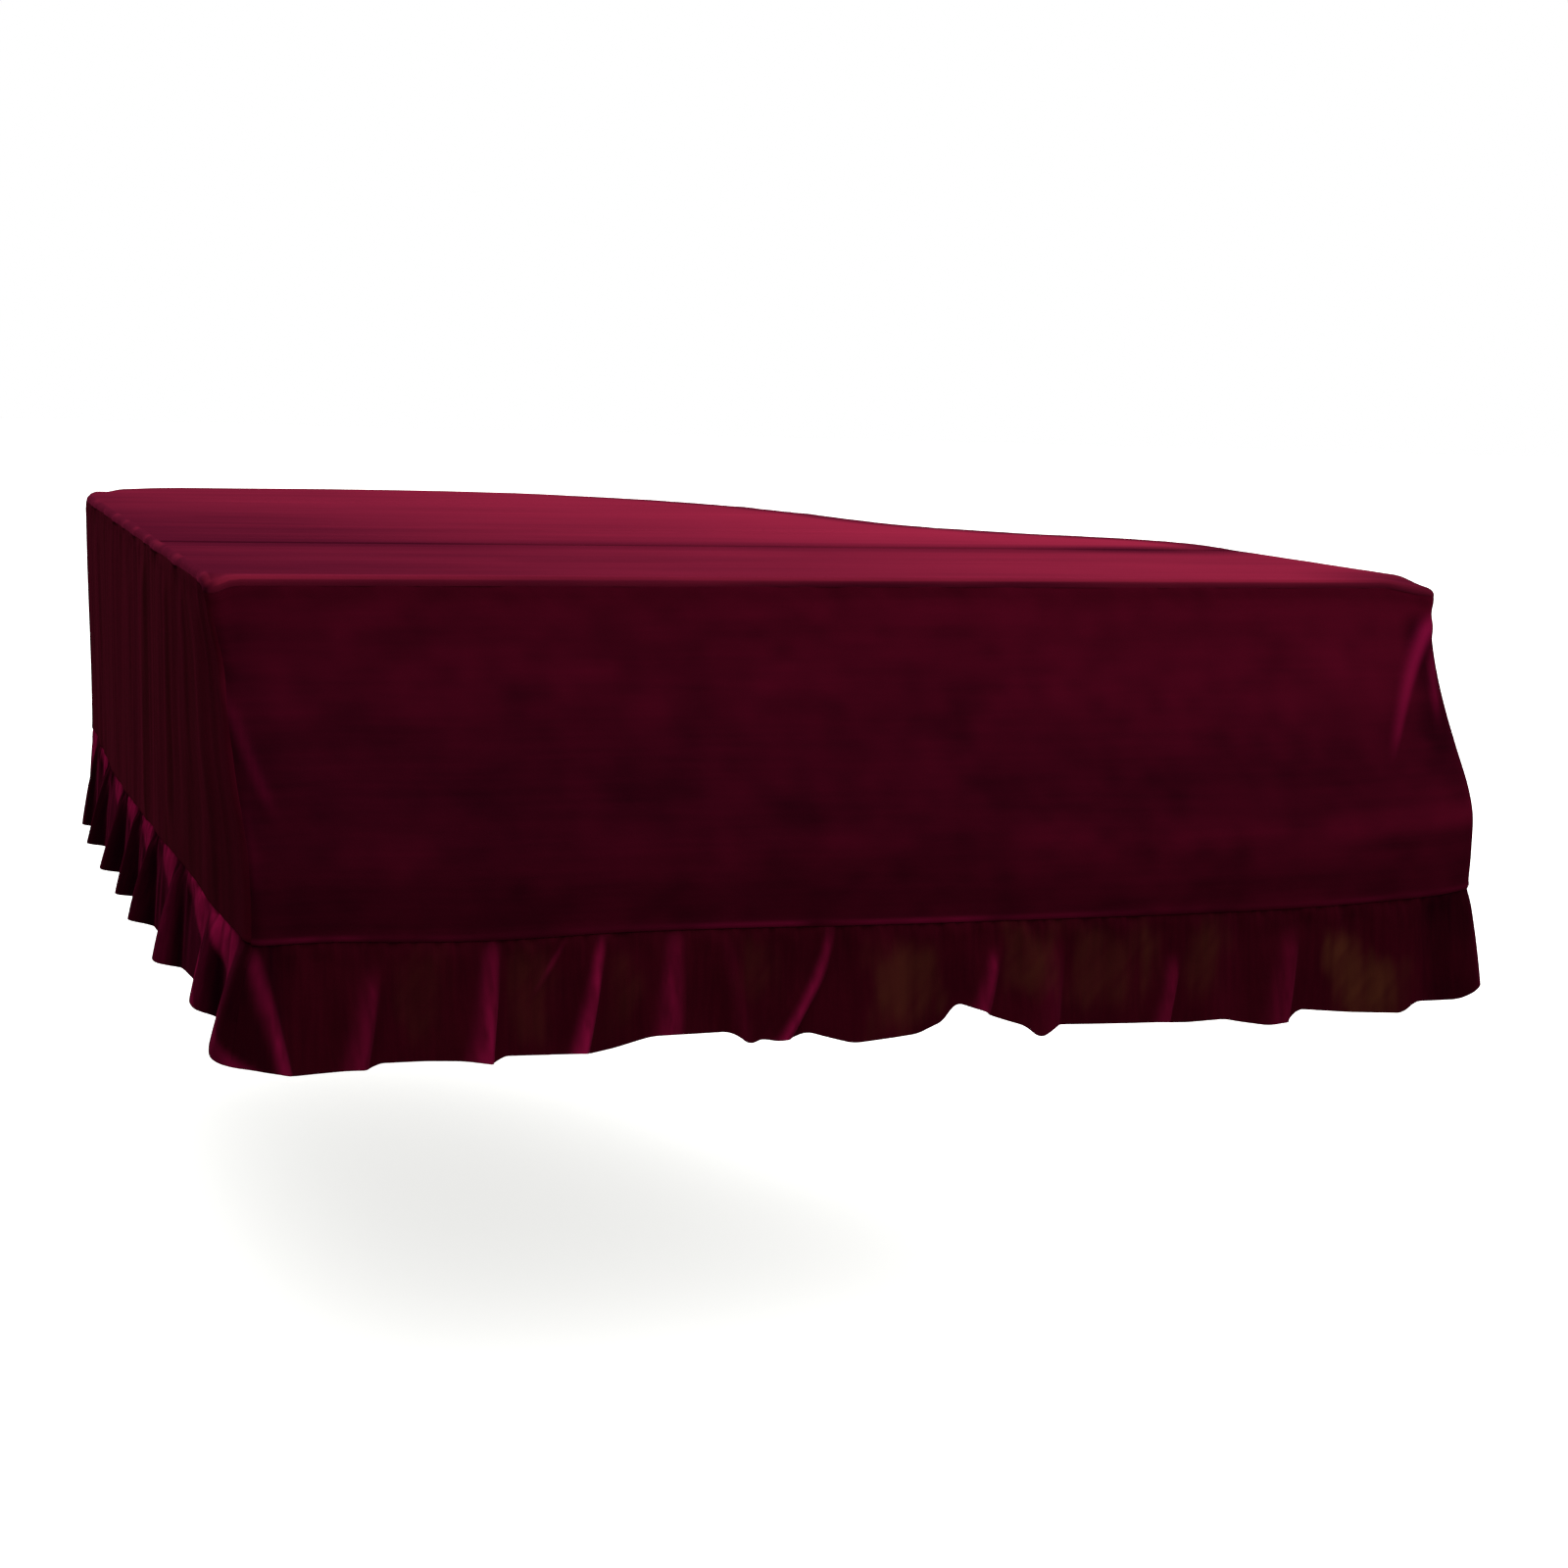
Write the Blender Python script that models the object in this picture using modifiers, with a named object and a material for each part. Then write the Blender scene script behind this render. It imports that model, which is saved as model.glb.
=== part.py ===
"""Fitted velvet cover for a grand piano, as it hangs over the closed lid.

A top panel is cut to the lid's outline and rolls over its edge. Five fall panels hang from it,
one for each side of the piano, and a gathered ruffle is sewn under each fall. The keyboard end
slopes outwards, because the key bed stands further forward than the lid. The piano itself is
not part of the object: the cover is hollow and open below.

Frame: metres, +X towards the treble side, +Y towards the tail, +Z up. The origin is the point
on the lid that carries the top panel. Plan positions in the tables are measured from the lid's
front left corner, and depths are measured down from the middle of the top panel's cloth.
"""
import math

import bmesh
import bpy
import numpy as np

# ---------------------------------------------------------------- driving dimensions, metres
CLOTH = 0.0020  # thickness of the velvet
SEAM_GAP = 0.0003  # clearance between two pieces that are sewn together
CORNER_GAP = 0.0004  # how far a panel stops short of an upright seam at its end
LID_WIDTH = 1.508  # keyboard side of the lid
MOUNT_SETBACK = 0.850  # from the lid's front edge back to the origin
CORNER_RADIUS = 0.014  # the two front corners, in plan
EDGE_RADIUS = 0.012  # how tightly the cloth rolls over the lid's edge
TURN_DOWN = 0.003  # upright strip of the top panel below the roll
CREASE_AT = 0.469  # crease over the lid's hinge line, from the front edge
CREASE_HALF = 0.015
CREASE_DROP = 0.003
CHEEK_LENGTH = CREASE_AT + CREASE_HALF  # straight treble side, before the bent side starts
SPINE_LENGTH = 1.440  # straight bass side, before the tail's corner starts
SEAM_DEPTH = 0.374  # top panel to the ruffle's seam
RUFFLE_DEPTH = 0.128  # ruffle's seam to its hem
FALL_COLLAR = 0.006  # upright strip of a fall just under the top panel
RUFFLE_COLLAR = 0.005  # upright strip of the ruffle just under its seam
RUFFLE_FLARE = 0.008  # how far the ruffle stands out at its hem, between the pleats
SIDE_PULL = 0.400  # length of the sides that is drawn forward by the keyboard end
SIDE_SKEW = 0.500  # length of the sides that is drawn across with the front corners
DIP_FADE = 0.120  # depth at which the corners' dips have faded out
BOW_FROM = 0.600  # from here back, the top panel's rows bow towards the tail's curve
HIDDEN_PITCH = 0.195  # spacing of folds and ridges on the sides away from the keyboard
HIDDEN_FOLD = 0.007  # height of those folds of the falls
HIDDEN_RIDGE = 0.028  # height of those ridges of the ruffles, at the hem
HIDDEN_WIDTH = 0.080  # width of both, each way

# ---------------------------------------------------------------- mesh density
FRONT_SPANS = 16  # spans of the top panel along the keyboard side, and along the tail
BENT_SPANS = 18  # spans of the top panel along the bent side, and opposite it
FALL_PITCH = 0.050
RUFFLE_PITCH = 0.024
CURVE_STEPS = 40  # fine steps between two points of the bent side
CHEEK_ROWS = (0.014, 0.110, 0.200, 0.290, 0.380)  # rows of the top panel in front of its crease
FALL_ROWS = (0.075, 0.170, 0.265, 0.315)  # depths of a fall's rows between its collar and its seam
RUFFLE_ROWS = (0.45, 1.0)  # the same for the ruffle, as shares of its depth

# Bent side and tail in plan, from the end of the cheek round to the start of the spine.
BENT_SIDE = [
    # x, y
    (1.508, 0.590),
    (1.454, 0.692),
    (1.350, 0.765),
    (1.245, 0.855),
    (1.175, 0.990),
    (1.130, 1.190),
    (1.060, 1.400),
    (0.930, 1.580),
    (0.760, 1.690),
    (0.560, 1.735),
    (0.340, 1.722),
    (0.150, 1.682),
    (0.036, 1.585),
]
TAIL_RIGHT = 7  # row of BENT_SIDE where the bent side ends and the tail starts
TAIL_LEFT = 12  # row of BENT_SIDE where the tail ends and the spine side starts

# Section of the keyboard end: how far it stands out in front of the lid's edge.
FRONT_SECTION = [
    # depth, reach
    (0.000, 0.000),
    (0.030, -0.003),
    (0.060, 0.004),
    (0.160, 0.040),
    (0.255, 0.079),
    (0.290, 0.089),
    (0.330, 0.092),
    (0.374, 0.090),
    (0.520, 0.096),
]

# How far the two lower front corners are drawn towards the treble side.
CORNER_SKEW = [
    # depth, left, right
    (0.000, 0.000, 0.002),
    (0.045, 0.006, 0.002),
    (0.085, 0.013, 0.002),
    (0.130, 0.016, 0.004),
    (0.200, 0.019, 0.014),
    (0.275, 0.028, 0.026),
    (0.315, 0.030, 0.025),
    (0.374, 0.031, 0.026),
    (0.520, 0.028, 0.034),
]

# The seam of the ruffle is not quite level.
SEAM_SAG_FRONT = [
    # x, drop
    (0.000, -0.001),
    (0.175, 0.004),
    (0.500, 0.001),
    (0.720, 0.000),
    (0.900, 0.009),
    (1.110, 0.014),
    (1.290, 0.012),
    (1.508, -0.001),
]
SEAM_SAG_SPINE = [
    # y, drop
    (0.000, -0.001),
    (0.380, -0.008),
    (0.660, -0.003),
    (1.000, 0.005),
    (1.400, 0.010),
]

# Places where the top edge is drawn down.
DIPS = [
    # x, y, drop, reach
    (0.000, 0.000, 0.009, 0.070),
    (1.508, 0.000, 0.010, 0.130),
    (0.036, 1.585, 0.006, 0.120),
]

# Upright folds of the falls: place along the side, width each way, height, top and foot depths.
SPINE_FOLDS = [
    # y, half_width, height, top, foot
    (1.270, 0.090, 0.007, 0.02, 0.40),
    (1.020, 0.110, 0.008, 0.02, 0.40),
    (0.780, 0.080, 0.006, 0.10, 0.40),
    (0.590, 0.090, 0.007, 0.02, 0.30),
    (0.360, 0.055, 0.010, 0.01, 0.30),
    (0.200, 0.060, 0.006, 0.02, 0.40),
]
FRONT_FOLDS = [
    # x, half_width, height, top, foot
    (0.055, 0.050, 0.006, 0.11, 0.26),
    (1.430, 0.045, 0.011, 0.03, 0.26),
]

# Ridges of the ruffle: where each leaves the seam, where it meets the hem, its width each way,
# its height at the hem, and how much lower the hem hangs there.
FRONT_RIDGES = [
    # at_seam, at_hem, half_width, height, drop
    (0.010, 0.010, 0.060, 0.034, -0.004),
    (0.120, 0.115, 0.070, 0.012, 0.009),
    (0.243, 0.243, 0.034, 0.024, 0.008),
    (0.367, 0.345, 0.034, 0.024, 0.004),
    (0.456, 0.445, 0.040, 0.018, -0.010),
    (0.528, 0.545, 0.026, 0.012, 0.008),
    (0.650, 0.590, 0.036, 0.020, 0.002),
    (0.700, 0.690, 0.075, 0.008, 0.018),
    (0.812, 0.807, 0.026, -0.006, -0.036),
    (0.845, 0.845, 0.034, 0.018, -0.004),
    (0.922, 0.900, 0.036, 0.024, 0.010),
    (1.090, 1.060, 0.050, 0.014, 0.004),
    (1.200, 1.180, 0.050, 0.004, 0.010),
    (1.263, 1.237, 0.040, 0.016, 0.004),
    (1.320, 1.310, 0.050, 0.006, 0.006),
    (1.395, 1.385, 0.050, 0.008, 0.018),
]
SPINE_RIDGES = [
    # at_seam, at_hem, half_width, height, drop
    (1.330, 1.345, 0.080, 0.018, 0.006),
    (1.123, 1.120, 0.085, 0.020, 0.004),
    (0.863, 0.870, 0.085, 0.020, 0.006),
    (0.672, 0.665, 0.075, 0.020, 0.004),
    (0.478, 0.470, 0.080, 0.020, 0.000),
    (0.280, 0.280, 0.260, 0.000, -0.022),
    (0.276, 0.285, 0.080, 0.018, 0.000),
    (0.106, 0.110, 0.070, 0.018, 0.000),
]

# ---------------------------------------------------------------- finishes: sRGB colour, roughness
WINE_VELVET = {
    "top_velvet": ((0.49, 0.11, 0.20), 0.85),
    "fall_velvet": ((0.24, 0.02, 0.07), 0.90),
    "ruffle_velvet": ((0.20, 0.02, 0.05), 0.90),
}


# ---------------------------------------------------------------- small helpers
def ease(share):
    """A soft step from 0 to 1."""
    share = np.clip(share, 0.0, 1.0)
    return share * share * (3.0 - 2.0 * share)


def hump(offset, half_width):
    """A soft ridge: 1 at its middle, 0 from half_width outwards."""
    share = np.clip(np.abs(offset) / half_width, 0.0, 1.0)
    return (1.0 - share * share) ** 2


def from_table(table, key, column=1):
    """Read a column of a table whose first column is the key, with soft joins between rows."""
    rows = np.array(table)
    order = np.argsort(rows[:, 0])
    keys, values = rows[order, 0], rows[order, column]
    slopes = np.gradient(values, keys)
    key = np.clip(key, keys[0], keys[-1])
    row = np.clip(np.searchsorted(keys, key, side="right") - 1, 0, len(keys) - 2)
    span = keys[row + 1] - keys[row]
    t = (key - keys[row]) / span
    start = (2 * t**3 - 3 * t**2 + 1) * values[row] + (t**3 - 2 * t**2 + t) * span * slopes[row]
    end = (3 * t**2 - 2 * t**3) * values[row + 1] + (t**3 - t**2) * span * slopes[row + 1]
    return start + end


# ---------------------------------------------------------------- the lid's outline in plan
def arc(centre, start_deg, end_deg):
    """Points of a corner's arc, in plan."""
    angles = np.radians(np.linspace(start_deg, end_deg, 9))
    x = centre[0] + CORNER_RADIUS * np.cos(angles)
    y = centre[1] + CORNER_RADIUS * np.sin(angles)
    return list(zip(x, y))


def bent_curve():
    """The bent side and tail as a smooth curve, and where each of its rows lies on it."""
    before = (LID_WIDTH, CHEEK_LENGTH)
    after = (0.0, SPINE_LENGTH)
    knots = [(LID_WIDTH, CHEEK_LENGTH - 0.1), before, *BENT_SIDE, after, (0.0, SPINE_LENGTH - 0.1)]
    knots = np.array(knots)
    points = []
    for k in range(1, len(knots) - 2):
        p0, p1, p2, p3 = knots[k - 1 : k + 3]
        for step in range(CURVE_STEPS):
            t = step / CURVE_STEPS
            bend = 2 * p1 + (p2 - p0) * t + (2 * p0 - 5 * p1 + 4 * p2 - p3) * t**2
            points.append(tuple(0.5 * (bend + (3 * p1 - p0 - 3 * p2 + p3) * t**3)))
    points.append(after)
    return points


class Rim:
    """The lid's outline, run anticlockwise from the middle of its front left corner."""

    def __init__(self):
        """Join the corners, straight sides and bent side, and note where each side ends."""
        near = CORNER_RADIUS
        front = arc((near, near), 225, 270) + arc((LID_WIDTH - near, near), 270, 315)
        cheek = arc((LID_WIDTH - near, near), 315, 360)[1:]
        bent = bent_curve()
        corner = arc((near, near), 180, 225)
        path = np.array(front + cheek + bent + corner)
        lengths = np.hypot(*np.diff(path, axis=0).T)
        self.path = path
        self.along = np.concatenate([[0.0], np.cumsum(lengths)])
        first_bent = len(front) + len(cheek)
        self.front_end = self.along[len(front) - 1]
        self.cheek_end = self.along[first_bent]
        self.bent_end = self.along[first_bent + (TAIL_RIGHT + 1) * CURVE_STEPS]
        self.tail_end = self.along[first_bent + (TAIL_LEFT + 1) * CURVE_STEPS]
        self.end = self.along[-1]

    def at(self, s):
        """Plan position at a distance along the outline."""
        return np.stack([np.interp(s, self.along, self.path[:, axis]) for axis in (0, 1)], axis=-1)

    def outward(self, s):
        """Unit vector that points out of the outline, averaged over a short stretch."""
        reach = 0.004
        step = self.at(np.mod(s + reach, self.end)) - self.at(np.mod(s - reach, self.end))
        step /= np.hypot(step[..., 0], step[..., 1])[..., None]
        return np.stack([step[..., 1], -step[..., 0]], axis=-1)

    def offset(self, s, centre):
        """How far along the outline a place lies from a centre, the shorter way round."""
        return (s - centre + self.end / 2) % self.end - self.end / 2

    def front_s(self, x):
        """Distance along the outline of a point of the keyboard side."""
        return (x - CORNER_RADIUS) + CORNER_RADIUS * math.pi / 4

    def spine_s(self, y):
        """Distance along the outline of a point of the bass side."""
        return self.end - (y - CORNER_RADIUS) - CORNER_RADIUS * math.pi / 4


RIM = Rim()


def side_stations():
    """Distances along the outline where the top panel and the falls share their columns."""
    quarter = CORNER_RADIUS * math.pi / 4
    turn = np.array([0.0, quarter / 2])
    straight = np.linspace(quarter, RIM.front_end - quarter, FRONT_SPANS - 1)
    front = np.concatenate([turn, straight, RIM.front_end - turn[::-1]])
    row_y = np.array([*CHEEK_ROWS, CREASE_AT - CREASE_HALF, CREASE_AT, CHEEK_LENGTH])
    cheek = np.concatenate([RIM.front_end + turn, RIM.front_end + quarter + row_y - CORNER_RADIUS])
    bent = np.linspace(RIM.cheek_end, RIM.bent_end, BENT_SPANS + 1)
    tail = np.linspace(RIM.bent_end, RIM.tail_end, len(front))
    far = np.linspace(RIM.tail_end, RIM.spine_s(CHEEK_LENGTH), BENT_SPANS + 1)
    spine = np.concatenate([far[:-1], RIM.spine_s(row_y[::-1]), RIM.end - turn[::-1]])
    return {"front": front, "cheek": cheek, "bent": bent, "tail": tail, "spine": spine}


STATIONS = side_stations()


# ---------------------------------------------------------------- how the cloth is drawn about
def dips(plan, depth):
    """How far the cloth is drawn down near the corners."""
    fall = np.zeros(plan.shape[:-1])
    for x, y, drop, reach in DIPS:
        distance = np.hypot(plan[..., 0] - x, plan[..., 1] - y)
        fall = fall + drop * hump(distance, reach)
    return fall * (1.0 - ease(depth / DIP_FADE))


def folds(s, depth):
    """How far the upright folds of the falls stand out."""
    out = np.zeros(np.broadcast(s, depth).shape)
    rows = [(RIM.front_s(x), *rest) for x, *rest in FRONT_FOLDS]
    rows += [(RIM.spine_s(y), *rest) for y, *rest in SPINE_FOLDS]
    hidden = int((RIM.tail_end - RIM.cheek_end) / HIDDEN_PITCH)
    for k in range(hidden):
        centre = RIM.cheek_end + (k + 0.6 + 0.2 * math.sin(2.3 * k)) * HIDDEN_PITCH
        height = HIDDEN_FOLD * (1.0 + 0.3 * math.sin(1.7 * k))
        rows.append((centre, HIDDEN_WIDTH, height, FALL_COLLAR, SEAM_DEPTH))
    for centre, half_width, height, top, foot in rows:
        length = ease((depth - top) / 0.05) * ease((foot - depth) / 0.06 + 0.5)
        out = out + height * hump(RIM.offset(s, centre), half_width) * length
    return out


def seam_sag(s, plan):
    """How far the ruffle's seam hangs below its mean depth."""
    on_front = from_table(SEAM_SAG_FRONT, plan[..., 0])
    on_spine = from_table(SEAM_SAG_SPINE, plan[..., 1])
    share = ease((s - RIM.front_end) / (RIM.tail_end - RIM.front_end))
    around = (1.0 - share) * SEAM_SAG_FRONT[-1][1] + share * SEAM_SAG_SPINE[-1][1]
    return np.where(s <= RIM.front_end, on_front, np.where(s >= RIM.tail_end, on_spine, around))


def drawn(plan, depth):
    """Move plan positions at a depth: forward at the keyboard end, and across at its corners."""
    forward = np.clip(1.0 - plan[..., 1] / SIDE_PULL, 0.0, 1.0) ** 2
    across = np.clip(1.0 - plan[..., 1] / SIDE_SKEW, 0.0, 1.0) ** 2
    share = plan[..., 0] / LID_WIDTH
    left = from_table(CORNER_SKEW, depth, 1)
    right = from_table(CORNER_SKEW, depth, 2)
    moved = plan.copy()
    moved[..., 0] += across * ((1.0 - share) * left + share * right)
    moved[..., 1] -= forward * from_table(FRONT_SECTION, depth)
    return moved


def in_frame(plan, depth):
    """Turn plan positions and depths into points of the object's frame."""
    x = plan[..., 0] - LID_WIDTH / 2
    y = plan[..., 1] - MOUNT_SETBACK
    return np.stack([x, y, CLOTH / 2 - depth], axis=-1)


# ---------------------------------------------------------------- mesh helpers
def velvet(name):
    """A plain velvet material."""
    srgb, roughness = WINE_VELVET[name]
    material = bpy.data.materials.get(name) or bpy.data.materials.new(name)
    material.use_nodes = True
    shader = material.node_tree.nodes["Principled BSDF"]
    linear = [((c + 0.055) / 1.055) ** 2.4 if c > 0.04045 else c / 12.92 for c in srgb]
    shader.inputs["Base Color"].default_value = (*linear, 1.0)
    shader.inputs["Roughness"].default_value = roughness
    shader.inputs["Metallic"].default_value = 0.0
    return material


def finish_piece(name, bm, collection, material_name):
    """Make an object of an open sheet, and give the sheet its thickness."""
    mesh = bpy.data.meshes.new(name)
    bm.to_mesh(mesh)
    bm.free()
    mesh.shade_smooth()
    mesh.materials.append(velvet(material_name))
    piece = bpy.data.objects.new(name, mesh)
    collection.objects.link(piece)
    wall = piece.modifiers.new("cloth", "SOLIDIFY")
    wall.thickness = CLOTH
    wall.offset = 0.0
    return piece


def grid_sheet(points):
    """An open grid whose rows and columns of vertices take the given points."""
    rows, columns = points.shape[:2]
    bm = bmesh.new()
    bmesh.ops.create_grid(bm, x_segments=columns - 1, y_segments=rows - 1, size=0.5)
    for vertex in bm.verts:
        column = round((vertex.co.x + 0.5) * (columns - 1))
        row = round((0.5 - vertex.co.y) * (rows - 1))
        vertex.co = points[row, column]
    return bm


# ---------------------------------------------------------------- the pieces
def top_grid():
    """Plan positions of the flat part of the top panel, by column and row."""
    inset = {side: RIM.at(s) - EDGE_RADIUS * RIM.outward(s) for side, s in STATIONS.items()}
    front = inset["front"]
    right = np.concatenate([inset["cheek"], inset["bent"][1:]])
    tail = inset["tail"][::-1]
    left = inset["spine"][::-1]
    u = ((front[:, 0] - front[0, 0]) / (front[-1, 0] - front[0, 0]))[:, None, None]
    across = (1 - u) * left[None] + u * right[None]
    front_bow = front[:, None] - ((1 - u) * left[0] + u * right[0])
    tail_bow = tail[:, None] - ((1 - u) * left[-1] + u * right[-1])
    into_tail = ease((left[:, 1] - BOW_FROM) / (left[-1, 1] - BOW_FROM))[None, :, None]
    at_front = np.zeros(len(left))
    at_front[0] = 1.0
    return across + at_front[None, :, None] * front_bow + into_tail * tail_bow


def top_panel(collection):
    """The top panel: flat on the lid, with its crease, rolled over the edge all round."""
    plan = top_grid()
    columns, rows = plan.shape[0] - 1, plan.shape[1] - 1
    drop = CREASE_DROP * hump(plan[..., 1] - CREASE_AT, CREASE_HALF * 0.99)
    depth = drop + dips(plan, np.zeros(plan.shape[:-1]))
    flat = in_frame(plan, depth)
    edge = np.concatenate([stations[:-1] for stations in STATIONS.values()])
    bm = bmesh.new()
    bmesh.ops.create_grid(bm, x_segments=columns, y_segments=rows, size=0.5)
    station = bm.verts.layers.int.new("station")
    for vertex in bm.verts:
        column = round((vertex.co.x + 0.5) * columns)
        row = round((vertex.co.y + 0.5) * rows)
        vertex.co = flat[column, row]
        if row == 0:
            vertex[station] = column
        elif column == columns:
            vertex[station] = columns + row
        elif row == rows:
            vertex[station] = columns + rows + (columns - column)
        elif column == 0:
            vertex[station] = 2 * columns + rows + (rows - row)
    rim_edges = [e for e in bm.edges if e.is_boundary]
    foot = EDGE_RADIUS + TURN_DOWN
    rolls = [(math.sin(a), EDGE_RADIUS * (1 - math.cos(a))) for a in np.radians((45.0, 90.0))]
    for spread, level in [*rolls, (1.0, foot)]:
        spots = RIM.at(edge) - EDGE_RADIUS * (1.0 - spread) * RIM.outward(edge)
        levels = level + dips(spots, np.full(len(edge), level))
        ring = in_frame(spots, levels)
        made = bmesh.ops.extrude_edge_only(bm, edges=rim_edges)["geom"]
        for item in made:
            if isinstance(item, bmesh.types.BMVert):
                item.co = ring[item[station]]
        rim_edges = [e for e in made if isinstance(e, bmesh.types.BMEdge) and e.is_boundary]
    finish_piece("top_panel", bm, collection, "top_velvet")


def split_evenly(stations, pitch):
    """Add columns between stations, so that none is much wider than the pitch."""
    parts = []
    for start, end in zip(stations[:-1], stations[1:]):
        count = max(1, round(abs(end - start) / pitch))
        parts.append(start + (end - start) * np.arange(count) / count)
    return np.concatenate([*parts, [stations[-1]]])


def between(stations, values, s):
    """Straight lines between the values at the stations."""
    return np.stack([np.interp(s, stations, values[:, axis]) for axis in range(values.shape[1])], axis=-1)


def fall_points(stations):
    """Columns of a fall panel, and its points from the top edge down to the ruffle's seam."""
    s = split_evenly(stations, FALL_PITCH)
    s[0] += CORNER_GAP
    s[-1] -= CORNER_GAP
    corners = RIM.at(stations)
    base = between(stations, corners, s)
    outward = RIM.outward(s)
    head = EDGE_RADIUS + TURN_DOWN + SEAM_GAP
    rows = []
    for depth in (head, head + FALL_COLLAR, *FALL_ROWS, SEAM_DEPTH):
        level = np.full(len(s), depth)
        dip = np.interp(s, stations, dips(corners, np.full(len(corners), depth)))
        below = ease((depth - head) / (SEAM_DEPTH - head))
        plan = base
        if depth > head + FALL_COLLAR:
            plan = drawn(base, level) + outward * folds(s, level)[:, None]
        rows.append(in_frame(plan, level + dip + below * seam_sag(s, base)))
    return s, np.array(rows)


def ridge_rows():
    """Every ridge of the ruffle, as distances along the outline."""
    rows = [(RIM.front_s(top), RIM.front_s(hem), *rest) for top, hem, *rest in FRONT_RIDGES]
    rows += [(RIM.spine_s(top), RIM.spine_s(hem), *rest) for top, hem, *rest in SPINE_RIDGES]
    start = RIM.front_end
    hidden = int((RIM.tail_end - start) / HIDDEN_PITCH)
    for k in range(hidden + 1):
        centre = start + (k + 0.1 * math.sin(2.1 * k)) * HIDDEN_PITCH
        lean = 0.05 * HIDDEN_PITCH * math.sin(1.3 * k)
        height = HIDDEN_RIDGE * (1.0 + 0.2 * math.sin(2.9 * k))
        rows.append((centre, centre + lean, HIDDEN_WIDTH, height, 0.0))
    return rows


def ruffle_points(fall_s, seam_row):
    """A ruffle's points, from the fall's lower edge down to the hem."""
    s = split_evenly(fall_s, RUFFLE_PITCH)
    seam = between(fall_s, seam_row, s)
    seam[:, 2] -= SEAM_GAP
    outward = RIM.outward(s)
    collar = seam.copy()
    collar[:, 2] -= RUFFLE_COLLAR
    rows = [seam, collar]
    for share in RUFFLE_ROWS:
        out = RUFFLE_FLARE * share * np.ones(len(s))
        drop = np.zeros(len(s))
        for at_seam, at_hem, half_width, height, extra in ridge_rows():
            centre = at_seam + (at_hem - at_seam) * share
            shape = hump(RIM.offset(s, centre), half_width * (0.6 + 0.4 * share))
            out = out + height * share * shape
            drop = drop + extra * share * shape
        row = seam.copy()
        row[:, :2] += outward * out[:, None]
        row[:, 2] -= RUFFLE_DEPTH * share + drop
        rows.append(row)
    return np.array(rows)


def main():
    """Build the top panel, then each side's fall with the ruffle below it."""
    for old in list(bpy.data.objects):
        bpy.data.objects.remove(old, do_unlink=True)
    collection = bpy.data.collections.new("piano_cover")
    bpy.context.scene.collection.children.link(collection)
    top_panel(collection)
    for side, stations in STATIONS.items():
        fall_s, fall = fall_points(stations)
        finish_piece(f"{side}_fall", grid_sheet(fall), collection, "fall_velvet")
        ruffle = ruffle_points(fall_s, fall[-1])
        finish_piece(f"{side}_ruffle", grid_sheet(ruffle), collection, "ruffle_velvet")


main()
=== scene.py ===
"""Looks of a fitted velvet cover for a grand piano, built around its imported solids.

Eleven sheets of wine velvet stand for the eleven solids: a top panel that rolls over the edge of
the lid, five falls and five gathered ruffles. Each is a fine grid whose points follow the same
folds as its solid, with the puckers, gathers and seams that the solids leave out.

Frame: metres, +X towards the treble side, +Y towards the tail, +Z up, with the origin on the lid.
Plan positions in the tables are measured from the lid's front left corner. Depths are measured
down from the middle of the top panel's cloth.
"""

import logging
import math
from dataclasses import dataclass, field
from enum import Enum

import bpy
import numpy as np
from mathutils import Matrix

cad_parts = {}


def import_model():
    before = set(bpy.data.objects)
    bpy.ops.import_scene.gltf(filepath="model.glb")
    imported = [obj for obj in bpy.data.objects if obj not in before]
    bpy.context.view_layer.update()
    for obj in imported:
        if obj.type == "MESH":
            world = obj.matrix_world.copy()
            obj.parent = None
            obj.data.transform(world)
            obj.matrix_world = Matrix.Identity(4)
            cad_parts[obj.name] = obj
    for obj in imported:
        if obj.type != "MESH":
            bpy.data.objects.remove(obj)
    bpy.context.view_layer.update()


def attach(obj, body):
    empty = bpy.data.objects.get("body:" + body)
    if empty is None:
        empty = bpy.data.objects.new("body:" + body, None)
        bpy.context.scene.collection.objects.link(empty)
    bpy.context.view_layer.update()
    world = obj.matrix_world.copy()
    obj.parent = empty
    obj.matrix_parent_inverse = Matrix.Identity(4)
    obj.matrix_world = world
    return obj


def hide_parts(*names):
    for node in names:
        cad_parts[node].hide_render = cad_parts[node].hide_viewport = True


log = logging.getLogger("piano_cover")
MM = 0.001
LATTICE = 97  # uneven waves repeat after this many
# Directions in plan, in degrees from the treble side round by the tail.
WEST, SOUTH_WEST, SOUTH, SOUTH_EAST, EAST = 180, 225, 270, 315, 360
Table = tuple[tuple[float, ...], ...]


# ---------------------------------------------------------------- shaping helpers
def ease(share: np.ndarray | float) -> np.ndarray:
    """Return a soft step from 0 to 1."""
    share = np.clip(share, 0.0, 1.0)
    return share * share * (3.0 - 2.0 * share)


def hump(offset: np.ndarray | float, half_width: np.ndarray | float) -> np.ndarray:
    """Return a soft ridge: 1 at its middle, 0 from half_width outwards."""
    share = np.clip(np.abs(offset) / half_width, 0.0, 1.0)
    return (1.0 - share * share) ** 2


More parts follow.
